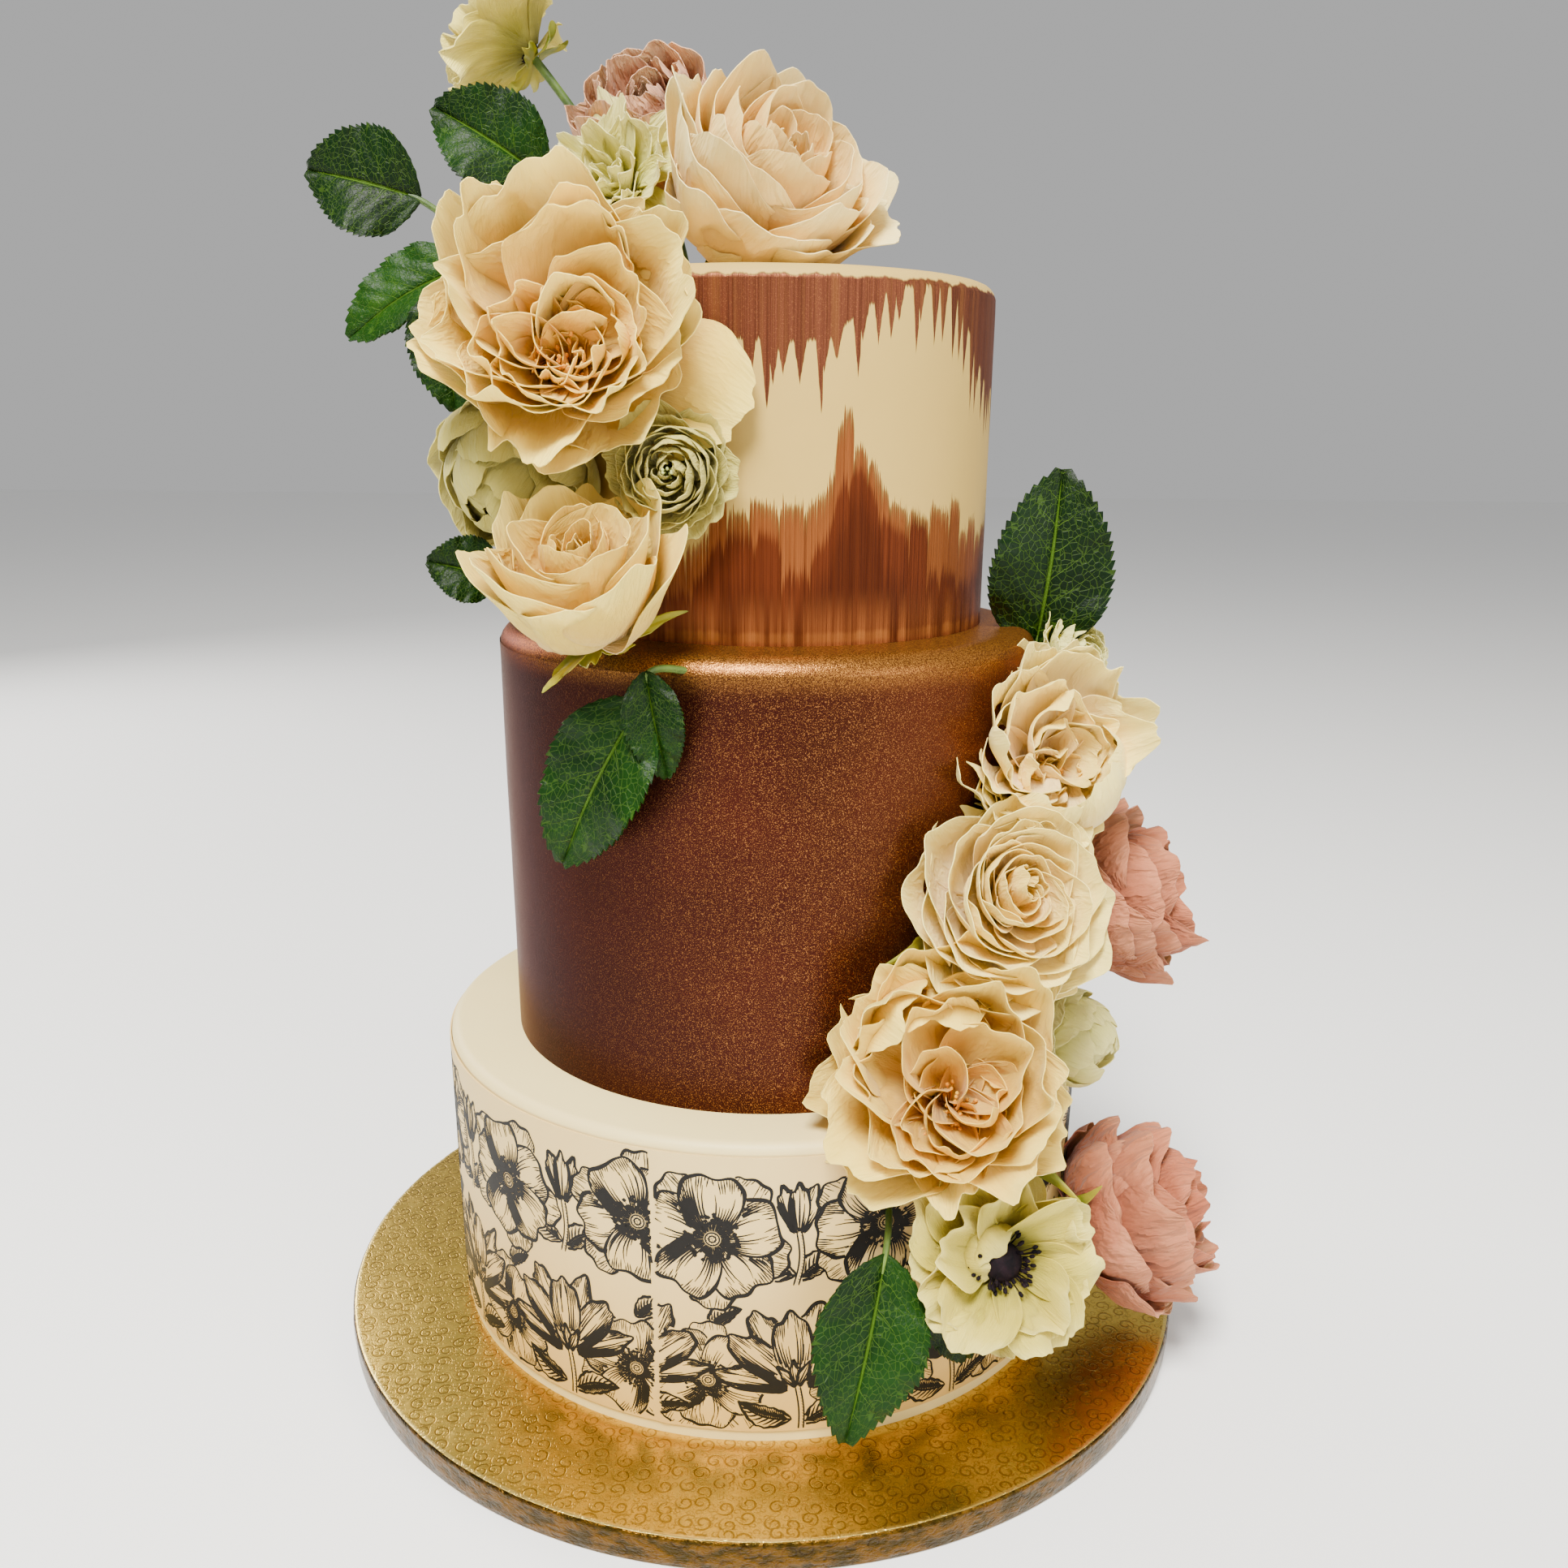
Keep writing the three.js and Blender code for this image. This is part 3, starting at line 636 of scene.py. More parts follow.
GOBLET_ROSE = [
    ring(3, 0.10, 1.16, 116, width=0.46, rise=88, cup=1.0, tuck=0.03),
    *styled(SMOOTH,
        ring(3, 0.22, 1.24, 116, width=0.80, rise=84, cup=0.6, tuck=0.05),
        ring(4, 0.36, 1.29, 114, width=1.00, rise=76, tuck=0.07),
        ring(4, 0.52, 1.30, 110, width=1.34, rise=60, tuck=0.09, curl=0.05, lobes=0.03),
        ring(4, 0.68, 1.24, 106, width=1.60, rise=38, tuck=0.1, curl=0.08, lobes=0.035),
        ring(5, 0.82, 1.13, 102, width=1.60, rise=16, tuck=0.1, curl=0.12, lobes=0.04),
        ring(5, 0.93, 0.99, 99, width=1.70, rise=-6, tuck=0.09, curl=0.16, lobes=0.05),
        ring(5, 1.00, 0.80, 96, width=1.70, rise=-22, tuck=0.06, curl=0.17, lobes=0.05),
        ring(5, 0.84, 0.40, 88, width=1.20, rise=-36, tuck=0.05, curl=0.08, lobes=0.03)),
]
CREASED = {"crinkle": 0.034, "ruffle": 0.045, "ragged": 0.012, "frill": 0.014, "swing": 0.08, "yaw": 12}
CABBAGE_ROSE = [
    ring(3, 0.12, 1.10, 128, width=0.5, rise=84, cup=1.0),
    ring(3, 0.26, 1.20, 128, width=0.84, rise=76, cup=0.5),
    *styled(CREASED,
        ring(4, 0.42, 1.25, 124, width=1.06, rise=62, curl=0.03),
        ring(4, 0.60, 1.22, 118, width=1.40, rise=44, curl=0.04, point=0.01),
        ring(4, 0.77, 1.12, 112, width=1.70, rise=26, curl=0.06, point=0.02),
        ring(5, 0.90, 0.97, 105, width=1.70, rise=8, curl=0.07),
        ring(5, 0.98, 0.78, 98, width=1.76, rise=-8, curl=0.05),
        ring(5, 1.00, 0.54, 90, width=1.60, rise=-20, curl=0.03)),
]
NEAT = {"swing": 0.03, "ruffle": 0.014, "ragged": 0.006}
RANUNCULUS = [
    *styled(NEAT,
        ring(3, 0.08, 0.88, 128, width=0.30, rise=84, cup=1.0),
        ring(4, 0.18, 0.92, 128, width=0.46, rise=80, cup=0.6),
        ring(4, 0.29, 0.95, 124, width=0.64, rise=72),
        ring(5, 0.41, 0.96, 120, width=0.74, rise=62),
        ring(5, 0.52, 0.93, 114, width=0.90, rise=50),
        ring(5, 0.62, 0.87, 106, width=1.00, rise=38)),
    ring(5, 0.74, 0.76, 88, width=1.12, rise=28, ruffle=0.03, swing=0.05),
    ring(5, 0.88, 0.62, 52, width=1.20, rise=24, ruffle=0.03, swing=0.06),
    ring(6, 1.00, 0.50, 26, width=1.16, rise=22, ruffle=0.03, swing=0.06),
]
BUD = [
    ring(3, 0.04, 1.50, 178, width=1.1, rise=50, narrow=0.5, cup=0.5),
    ring(4, 0.12, 1.56, 172, width=1.2, rise=30, narrow=0.5, cup=0.4),
    ring(4, 0.30, 1.58, 160, width=1.4, rise=16, narrow=0.5),
    ring(4, 0.56, 1.48, 138, width=1.6, rise=6, narrow=0.5, ruffle=0.03),
    ring(4, 0.80, 1.26, 116, width=1.7, rise=2, narrow=0.5, ruffle=0.04),
    ring(4, 0.98, 0.94, 94, width=1.7, rise=0, narrow=0.5, ruffle=0.05, curl=0.05),
]
RIBBED = {"ribs": 0.02, "cup": 0.4, "lobes": 0.04, "ruffle": 0.09, "frill": 0.014, "swing": 0.12, "yaw": 12}
ANEMONE = [
    *styled(RIBBED,
        ring(5, 0.72, 0.58, 52, width=0.84, rise=44),
        ring(6, 0.94, 0.44, 20, width=0.96, rise=34),
        ring(4, 1.00, 0.24, -10, width=0.88, rise=22)),
]
TAPERED = {"point": 0.05, "square": 0.55, "ruffle": 0.06, "frill": 0.02, "swing": 0.12}
FILLER = [
    *styled(TAPERED,
        ring(5, 0.26, 0.72, 84, width=0.40),
        ring(6, 0.50, 0.84, 76, width=0.56),
        ring(7, 0.76, 0.76, 56, width=0.66),
        ring(7, 1.00, 0.56, 28, width=0.72)),
]
KINDS = {"peony": PEONY, "open peony": OPEN_PEONY, "rose": ROSE, "rosette": ROSETTE, "goblet": GOBLET_ROSE,
         "cabbage": CABBAGE_ROSE, "ranunculus": RANUNCULUS, "bud": BUD, "anemone": ANEMONE, "filler": FILLER}
# How far the middle of the face lies above the head's base, as a share of its radius.
DEPTH = {"peony": 0.6, "open peony": 0.6, "rose": 0.75, "rosette": 0.48, "goblet": 0.7, "cabbage": 0.74,
         "ranunculus": 0.6, "bud": 0.8, "anemone": 0.3, "filler": 0.5}
print("kinds:", {kind: sum(r["count"] for r in rings) for kind, rings in KINDS.items()})

# %% [markdown]
# ## Stamens, hearts and stalks
# Stamens are short threads with a blob of pollen on the end. One is made from a thin cylinder with a ball joined on,
# and its points are carried along a bent line for every thread. The same line bending makes the flower stalks.

# %% A thread with a tip, and tubes that follow a line
def unit_cylinder(sides, cuts):
    """A cylinder that stands on the origin, with a radius and a height of 1."""
    obj = primitive(bpy.ops.mesh.primitive_cylinder_add, vertices=sides, radius=1, depth=1, location=(0, 0, 0.5))
    cut_side(obj, cuts)
    return obj


def thread_template():
    """A thread one unit tall with a ball on its end: points, faces, and which points are the ball's."""
    thread = unit_cylinder(5, 3)
    stem_count = len(thread.data.vertices)
    ball = primitive(bpy.ops.mesh.primitive_ico_sphere_add, subdivisions=1, radius=1, location=(0, 0, 1))
    only(thread)
    ball.select_set(True)
    bpy.ops.object.join()
    points = points_of(thread)
    faces = [list(face.vertices) for face in thread.data.polygons]
    is_ball = np.arange(len(points)) >= stem_count
    bpy.data.objects.remove(thread)
    return points, faces, is_ball


THREAD_POINTS, THREAD_FACES, THREAD_BALL = thread_template()


def along_line(line, share):
    """Points at shares (0 to 1) of a quadratic curve through three control points."""
    a, b, c = (np.asarray(p, dtype=float) for p in line)
    s = np.asarray(share)[:, None]
    return (1 - s) ** 2 * a + 2 * s * (1 - s) * b + s * s * c


def thread(line, radius, tip, stretch=1.0):
    """One thread bent along a line, as points; tip is the ball's radius, stretched along the line."""
    rows = THREAD_POINTS.copy()
    heading = np.asarray(line[2], float) - np.asarray(line[1], float)
    heading /= np.linalg.norm(heading)
    basis = np.array(Vector(heading).to_track_quat("Z", "Y").to_matrix())
    height = np.where(THREAD_BALL, 1.0, rows[:, 2])
    local = rows - np.stack([np.zeros_like(height), np.zeros_like(height), height], axis=1)
    local *= np.where(THREAD_BALL, tip, radius)[:, None]
    local[:, 2] *= np.where(THREAD_BALL, stretch, 0)
    return along_line(line, height) + local @ basis.T


def mesh_object(name, points, faces):
    """A new object from points in millimetres."""
    mesh = bpy.data.meshes.new(name)
    mesh.from_pydata(np.asarray(points) * MM, [], faces)
    mesh.uv_layers.new(name="UVMap")
    obj = bpy.data.objects.new(name, mesh)
    bpy.context.scene.collection.objects.link(obj)
    return obj


def bunch(name, threads):
    """Many threads as one object."""
    count = len(THREAD_POINTS)
    faces = [[i + k * count for i in face] for k in range(len(threads)) for face in THREAD_FACES]
    return mesh_object(name, np.concatenate(threads), faces)


def stalk(line, radius, end_radius, sides=10):
    """A bent cylinder along a quadratic line, tapering from one radius to the other."""
    obj = unit_cylinder(sides, 14)
    rows = points_of(obj)
    share = rows[:, 2]
    centres = along_line(line, share)
    slope = along_line(line, share + 0.01) - along_line(line, share - 0.01)
    for i, heading in enumerate(slope):
        basis = np.array(Vector(heading).to_track_quat("Z", "Y").to_matrix())
        width = radius + (end_radius - radius) * share[i]
        rows[i] = centres[i] + basis @ np.array([rows[i, 0], rows[i, 1], 0]) * width
    move_points(obj, rows * MM)
    return obj


def heart_threads(rng, count, spread, height, lean, radius, tip, stretch=1.0, ring_from=0.0):
    """Threads that fan out from the middle of a flower; lengths in millimetres."""
    made = []
    for k in range(count):
        angle = 2 * np.pi * (k * 0.618 + 0.02 * rng.normal())
        share = np.sqrt(rng.uniform(ring_from ** 2, 1))
        foot = spread * 0.35 * share
        top = spread * share * (1 + 0.1 * rng.normal())
        tall = height * (1 - lean * share) * (1 + 0.12 * rng.normal())
        across = np.array([math.cos(angle), math.sin(angle), 0])
        up = np.array([0, 0, 1])
        line = [across * foot, across * foot * 1.3 + up * tall * 0.6, across * top + up * tall]
        made.append(thread(line, radius, tip, stretch))
    return made


# %% [markdown]
# ## Petal cloth
# Stiffened silk is matt, lets some light through, and is dyed unevenly: deep at the claw and pale at the rim. Where a
# ramp is darker at the claw, and where the heart colour darkens the inner rings, that is partly dye and partly
# painted shade of the flower's hollows. The petal's own UV map says how far along and across a point is, so a ramp
# along V paints the dye. A fine weave and faint fanned pleats go into the bump. One group makes the colour and the
# relief for every flower, and each material gives it its own dyes.

# %% Dyed cloth group
WEAVE = 2600  # threads to the metre


def cloth_group():
    group, tree, given, result = new_group(
        "dyed cloth", ("Along", "Mottle", "Relief", "Creases", "Tint", "Depth"), Fan=9.0)
    across, along, _ = tree.axes(tree.own_map())
    mottle = tree.noise(given["Vector"], 55, detail=4)
    tint = tree.attribute("petal_tint")
    fan = tree.noise(tree.vector(tree.times(across, given["Fan"]), along, tint), 3.0)
    weave = tree.noise(given["Vector"], WEAVE, detail=1)
    drawn = tree.vector(tree.times(across, 4.0), tree.times(along, 1.6), tree.times(tint, 19.0))
    ridge = tree.away(tree.line(tree.noise(drawn, 1.6, detail=3), 2.0, -1.0))
    tree.fill(result, Along=tree.line(tree.minus(mottle, 0.5), 0.35, along), Mottle=mottle, Tint=tint,
              Depth=tree.attribute("petal_depth"), Creases=tree.math("POWER", tree.rest(ridge), 3.0),
              Relief=tree.line(fan, 0.8, tree.times(weave, 0.2)))
    return group


CLOTH_GROUP = cloth_group()


def petal_material(name, dyes, rim, heart=None, fan=9.0, relief=0.5, crease=0.7):
    """Cloth dyed along the petal through (position, colour) stops; heart tints the inner rings, partly as painted
    shade.
    """
    material, tree = new_material(name)
    cloth = tree.group(CLOTH_GROUP, Vector=tree.where(), Fan=fan)
    colour = tree.ramp(cloth["Along"], dyes)
    if heart:
        inner = tree.rest(tree.step(cloth["Depth"], 0.1, 0.95))
        colour = tree.mix(tree.times(inner, 0.75), colour, tree.mix(1.0, colour, heart, "MULTIPLY"))
    colour = tree.mix(tree.times(tree.step(cloth["Mottle"], 0.5, 0.8), 0.35), colour, rim)
    shade = tree.line(cloth["Tint"], 0.12, 0.9)
    colour = tree.mix(1.0, colour, tree.add("ShaderNodeCombineColor", {0: shade, 1: shade, 2: shade}).outputs[0],
                      "MULTIPLY")
    folded = tree.line(cloth["Creases"], crease / relief, cloth["Relief"])
    tree.surface(Base_Color=colour, Roughness=0.82, Specular_IOR_Level=0.2, Sheen_Weight=0.08, Sheen_Roughness=0.5,
                 Subsurface_Weight=0.3, Subsurface_Radius=(1.0, 0.85, 0.6), Subsurface_Scale=0.004,
                 Normal=tree.bump(folded, relief * MM, 0.8))
    return material


# Where a ramp is darker at its claw end, that is partly dye and partly painted shade of the flower's hollows.
CREAM_DYES = [(0.0, "edd2aa"), (0.22, "edd29e"), (0.5, "f2d690"), (0.78, "f8de84"), (1.0, "fee880")]
GOLDEN_DYES = [(0.0, "e2c088"), (0.22, "dcb66c"), (0.5, "dab04e"), (0.78, "e4be4c"), (1.0, "f9da66")]
BLUSH_DYES = [(0.0, "b88c64"), (0.25, "cca068"), (0.55, "dfb66c"), (0.85, "eeca74"), (1.0, "fce492")]
# The pale green is a darkened copy of the lime green, painted shade for the ranunculus and bud on the left, under the
# peony; their partners on the right use the lime dye.
PALE_DYES = [(0.0, "d8d0a0"), (0.22, "cac288"), (0.55, "b0a560"), (0.85, "a99e4e"), (1.0, "b8ac56")]
PINK_DYES = [(0.0, "541e0e"), (0.3, "763a24"), (0.6, "8f4d34"), (0.85, "a66346"), (1.0, "c27c5a")]
# The light pink is the dusty pink made lighter for the top rose: painted light on a rose that sits in shade.
ROSY_DYES = [(0.0, "844a30"), (0.3, "9e5e40"), (0.6, "b07050"), (0.85, "c08462"), (1.0, "d49a74")]
GREENISH_DYES = [(0.0, "807820"), (0.2, "9e942c"), (0.5, "c4b23c"), (0.85, "dec954"), (1.0, "f6e274")]
petal_materials = {
    "cream": petal_material("cream_silk", CREAM_DYES, rim="fbe494", heart="fae4b4"),
    "golden": petal_material("golden_silk", GOLDEN_DYES, rim="f5da74", heart="f8dca4"),
    "blush": petal_material("blush_silk", BLUSH_DYES, rim="fbe6a0", heart="f2d2a4"),
    "pale": petal_material("pale_green_silk", PALE_DYES, rim="beb264"),
    "pink": petal_material("dusty_pink_silk", PINK_DYES, rim="c08264", heart="d89070", crease=2.2, relief=1.0),
    "rosy": petal_material("light_pink_silk", ROSY_DYES, rim="d8a07a", crease=2.2, relief=1.0),
    "anemone": petal_material("anemone_silk", GREENISH_DYES, rim="f2dc78", fan=40.0, relief=1.3, crease=0.6),
    "filler": petal_material("lime_silk", [(0.0, "8e8c20"), (0.4, "c2bc50"), (1.0, "e4da84")], rim="e8de94"),
}
PETAL_SLOTS = {"cream": "cream_petal", "golden": "cream_petal", "blush": "blush_petal", "pale": "pale_petal",
               "pink": "pink_petal", "rosy": "pink_petal", "anemone": "anemone_petal", "filler": "pale_petal"}


def plain_cloth(name, dark, light, roughness=0.6, scale=90, **more):
    """A dyed finish with soft variation, for stalks, stamens and sepals."""
    material, tree = new_material(name)
    where = tree.where()
    spots = tree.noise(where, scale, detail=4)
    grain = tree.noise(where, 1800, detail=1)
    tree.surface(Base_Color=tree.mix(tree.step(spots, 0.3, 0.7), dark, light), Roughness=roughness,
                 Normal=tree.bump(grain, 0.15 * MM, 0.6), **more)
    return material


stalk_green = plain_cloth("stalk_green", "1f3a0c", "5a7420")
sepal_green = plain_cloth("sepal_green", "5c6c10", "a89c1c", scale=60)
pollen_yellow = plain_cloth("pollen_yellow", "d88a10", "f3c13a", scale=400)
heart_black = plain_cloth("heart_black", "060308", "180b13", roughness=0.75, scale=300, Specular_IOR_Level=0.15)
heart_green = plain_cloth("heart_green", "8f9a44", "c4cb7c", scale=150)

# %% [markdown]
# ## Placing the flowers
# Each flower's face has a centre, given by its azimuth round the cake, its distance from the axis and its height,
# and a direction it looks in. Its stalk runs back from its base to the cake. The middle of each head is within about
# 11 mm of the middle of its CAD node, and some heads are turned from it, one by 41 degrees, to show their open face.

# %% The flowers
def flower(name, kind, at, radius, face, turn, colour, root, strays=(), sepals=()):
    return SimpleNamespace(**locals())


def single(turn, out, up, lean, **more):
    """A petal or sepal on its own, at an angle round the flower."""
    return {"turn": turn, "out": out, "up": up, "lean": lean, **more}


FLOWERS = [
    flower("peony_left", "peony", (-34, 113, 392), 41, (2, 18), 8, "golden", (-45, 78, 372), strays=[
        single(-24, 1.5, 0.34, -14, rise=30, claw=0.3, width=1.1, cup=-0.6, lobes=0.03, narrow=0.5),
        single(88, 0.34, 0.86, 96, rise=80, claw=0.7, width=0.94, cup=0.3, lobes=0.03, shift=(0.14, -0.12)),
        single(12, 0.86, 1.1, 92, rise=60, claw=0.5, width=1.2, curl=0.16, lobes=0.04, cup=0.3)]),
    flower("rose_left", "rose", (-29, 120, 317), 29.5, (-6, 60), 20, "golden", (-30, 92, 290), sepals=[
        single(-105, 0.9, 0.1, 5), single(14, 0.88, 0.16, 10)]),
    flower("ranunculus_left", "ranunculus", (-18, 98, 348), 20.5, (-4, 0), 0, "pale", (-17, 78, 342)),
    flower("rose_blush", "goblet", (2, 31, 440), 37, (34, 44), 30, "blush", (-20, 15, 408), strays=[
        single(-34, 1.06, 0.96, 66, rise=10, claw=0.4, width=1.1, curl=0.16, lobes=0.03),
        single(150, 0.94, 1.2, 84, rise=30, claw=0.4, width=1.1, curl=0.16, lobes=0.03)]),
    flower("bud_left", "bud", (-54, 104, 347), 28, (-20, -34), 0, "pale", (-64, 76, 362)),
    flower("filler_top", "filler", (-76, 54, 443), 29, (-20, 30), 10, "filler", (-80, 44, 408)),
    flower("rose_pink_top", "cabbage", (-112, 47, 468), 30, (-20, 50), 0, "rosy", (-130, 36, 408)),
    flower("rose_right", "rosette", (41, 127, 206), 35, (20, 28), 0, "cream", (42, 98, 190), sepals=[
        single(198, 1.06, 0.12, 5)]),
    flower("peony_right", "peony", (56, 121, 254), 34, (16, 20), 25, "cream", (58, 98, 248), strays=[
        single(-110, 0.5, 1.0, 150, rise=76, claw=1.5, width=1.1, cup=0.4, narrow=0.6, lobes=0.05,
               shift=(0.1, -0.1)),
        single(-60, 0.3, 1.12, 165, rise=70, claw=2.4, width=1.2, cup=0.5, narrow=0.7, lobes=0.04,
               shift=(0.15, -0.1)),
        single(-10, 0.4, 1.0, 155, rise=70, claw=1.9, width=1.1, cup=0.5, narrow=0.7, lobes=0.04,
               shift=(0.1, -0.1)),
        single(176, 0.9, 0.7, 58, rise=20, width=1.3, curl=0.1, lobes=0.05),
        single(132, 0.84, 0.98, 84, rise=40, width=1.2, curl=0.1, lobes=0.05)]),
    flower("peony_low", "open peony", (26, 139, 154), 42, (-8, 30), 15, "golden", (30, 118, 130), strays=[
        single(100, 0.34, 0.86, 160, rise=84, claw=2.2, width=1.0, cup=0.2, narrow=0.7, lobes=0.05,
               shift=(0, 0.05)),
        single(140, 0.5, 0.96, 150, rise=74, claw=1.5, width=1.0, cup=0.2, narrow=0.7, lobes=0.05,
               shift=(0, 0.05))], sepals=[
        single(-38, 1.12, 0.2, 10, width=0.34)]),
    flower("anemone_low", "anemone", (31, 159, 91), 36, (8, 24), 12, "anemone", (34, 127, 78), strays=[
        single(128, 0.16, 0.5, 158, rise=88, claw=2.4, width=0.7, narrow=0.5, lobes=0.03, ribs=0.012, curl=-0.1),
        single(172, 0.2, 0.42, 150, rise=82, claw=2.2, width=0.6, narrow=0.5, lobes=0.03, ribs=0.012, curl=-0.1)]),
    flower("rose_pink_mid", "cabbage", (78, 148, 190), 35, (84, 20), 20, "pink", (76, 98, 186)),
    flower("rose_pink_low", "cabbage", (68, 166, 66), 39, (86, 22), 40, "pink", (70, 127, 62), sepals=[
        single(130, 0.95, 0.3, 40, width=0.3)]),
    flower("bud_right", "bud", (69, 129, 133), 21, (50, -10), 0, "filler", (72, 118, 130), sepals=[
        single(-30, 1.25, 0.5, 30, width=0.22, point=0.05)]),
    flower("ranunculus_right", "ranunculus", (76, 120, 282), 18.5, (40, 20), 0, "filler", (82, 98, 272)),
    flower("anemone_top", "anemone", (-111, 101, 498), 33, (-98, 42), 0, "anemone", (-150, 45, 408)),
]


def facing(azimuth, elevation):
    """Turn of a flower's frame: +Z the way it faces, +X level and to its right."""
    axis = direction(azimuth, elevation)
    across = direction(azimuth + 90, 0)
    return Matrix((across, axis.cross(across), axis)).transposed()


# %% Hearts of the flowers, in each flower's own frame
def add_heart(kind, radius, rng):
    """Stamens and centres: a list of (object, material)."""
    if "peony" in kind:
        threads = heart_threads(
            rng, count=60, spread=0.26 * radius, height=0.44 * radius, lean=0.15, radius=0.22, tip=0.75, stretch=1.4)
        stamens = bunch("stamens", threads)
        move_points(stamens, points_of(stamens) + np.array([0.04, -0.26, 0]) * radius * MM)
        return [(stamens, pollen_yellow)]
    if kind == "anemone":
        threads = heart_threads(rng, count=70, spread=0.34 * radius, height=0.42 * radius, lean=0.3, radius=0.22,
                                tip=0.8, stretch=1.7, ring_from=0.5)
        dome = primitive(bpy.ops.mesh.primitive_uv_sphere_add, segments=32, ring_count=20, radius=0.2 * radius * MM,
                         location=(0, 0, 0.24 * radius * MM))
        rows = points_of(dome)
        rows[:, 2] = rows[:, 2] * 0.8 + 0.03 * radius * MM
        knobs = np.sin(rows[:, 0] * 3600) * np.sin(rows[:, 1] * 3600) * 0.3 * MM
        move_points(dome, rows + knobs[:, None] * np.array([0, 0, 1]))
        return [(bunch("stamens", threads), heart_black), (dome, heart_black)]
    if kind == "ranunculus":
        threads = heart_threads(
            rng, count=14, spread=0.1 * radius, height=0.78 * radius, lean=0.1, radius=0.3, tip=0.6)
        return [(bunch("pips", threads), heart_green)]
    return []


SEPAL = {"claw": 0.12, "rise": -8, "width": 0.26, "cup": 0.3, "point": 0.2, "square": 0.8, "narrow": 0.6}


def add_calyx(radius, rng, longer):
    """Five green sepals that hold the base of the head from below, and longer ones that show past its rim."""
    short = {**SEPAL, "out": 0.42, "up": 0.0, "lean": 25, "count": 5}
    obj = petal_head([short], radius, rng, [{**SEPAL, **sepal} for sepal in longer])
    rows = points_of(obj)
    rows[:, 2] -= 0.09 * radius * MM
    move_points(obj, rows)
    return [(obj, sepal_green)]


# %% Build them
STALK_RADII, LEAF_STALK_RADII = (1.6, 1.5), (1.1, 1.3)  # by the head or leaf, and in the cake


def join_parts(parts):
    """Joins objects into the first, each keeping its own material."""
    for obj, material in parts:
        obj.data.materials.clear()
        obj.data.materials.append(material)
    only(parts[0][0])
    for obj, _ in parts[1:]:
        obj.select_set(True)
    bpy.ops.object.join()
    return parts[0][0]


def build_flower(spec, seed):
    rng = np.random.default_rng(seed)
    head = petal_head(KINDS[spec.kind], spec.radius, rng, spec.strays, math.radians(spec.turn))
    parts = [(head, petal_materials[spec.colour])] + add_heart(spec.kind, spec.radius, rng)
    parts += add_calyx(spec.radius, rng, spec.sepals)
    axis = direction(*spec.face)
    base = place(*spec.at) - axis * DEPTH[spec.kind] * spec.radius
    turn = np.array(facing(*spec.face))
    for obj, _ in parts:
        move_points(obj, points_of(obj) @ turn.T + np.array(base) * MM)
    line = [base + axis * 0.05 * spec.radius, base - axis * 0.25 * spec.radius, place(*spec.root)]
    parts.append((stalk(line, *STALK_RADII), stalk_green))
    finish(join_parts(parts), spec.name + "_bloom", PETAL_SLOTS[spec.colour], replaced=[spec.name])


for seed, spec in enumerate(FLOWERS, 100):
    build_flower(spec, seed)

# %% [markdown]
# ## Leaves
# The leaves are pressed from the same cloth in a mould that gives them a midrib, side veins and a saw-toothed edge.
# A fine grid has enough rows for the teeth, so its points are carried to the leaf's outline, folded along the
# midrib, bowed, and puffed up between the veins. The net of finer veins is left to the material.

# %% Leaf shapes
def leaf(name, foot, tip, width, face, bow, fold, root, shade=0.0):
    return SimpleNamespace(**locals())


LEAVES = [
    leaf("leaf_far_left", (-90, 123, 438), (-91, 163, 447), 36, (5, 5), 3, 12, (-100, 74, 398), 0.1),
    leaf("leaf_upper_left", (-97, 80, 446), (-95, 119, 469), 35, (0, 10), 4, 14, (-106, 60, 408), 0.4),
    leaf("leaf_left_light", (-81, 104, 415), (-82, 148, 390), 28, (-12, 28), 4, 14, (-92, 74, 400), 1.0),
    leaf("leaf_left_dark", (-72, 112, 406), (-70, 114, 366), 28, (-8, 8), 4, 12, (-84, 74, 394), 0.3),
    leaf("leaf_small_left", (-53, 112, 312), (-58, 133, 318), 22, (-8, 20), 2, 14, (-62, 90, 290), 0.2),
    leaf("leaf_drop_big", (-20, 114, 279), (-34, 121, 222), 37, (-24, 8), 4, 10, (-20, 98, 284), 0.6),
    leaf("leaf_drop_small", (-19, 116, 288), (-16, 114, 254), 19, (-2, 4), 3, 20, (-10, 98, 284), 0.5),
    leaf("leaf_right_top", (76, 104, 282), (77, 110, 348), 45, (2, 2), 4, 12, (84, 98, 270), 0.0),
    leaf("leaf_low_big", (17, 142, 94), (10, 160, 35), 38, (8, 22), 3, 12, (20, 127, 104), 0.7),
    leaf("leaf_low_small", (25, 138, 82), (31, 143, 42), 24, (22, 4), 3, 12, (26, 127, 90), 0.1),
]
TEETH, ROWS_PER_TOOTH = 20, 3
VEIN_PAIRS = 7
VEIN_SLANT = 0.3  # how much further along a side vein is at the edge than at the midrib
LEAF_CLOTH = 0.8  # its thickness

leaf_blank = primitive(
    bpy.ops.mesh.primitive_grid_add, x_subdivisions=24, y_subdivisions=TEETH * ROWS_PER_TOOTH, size=2)
LEAF_BLANK = points_of(leaf_blank)


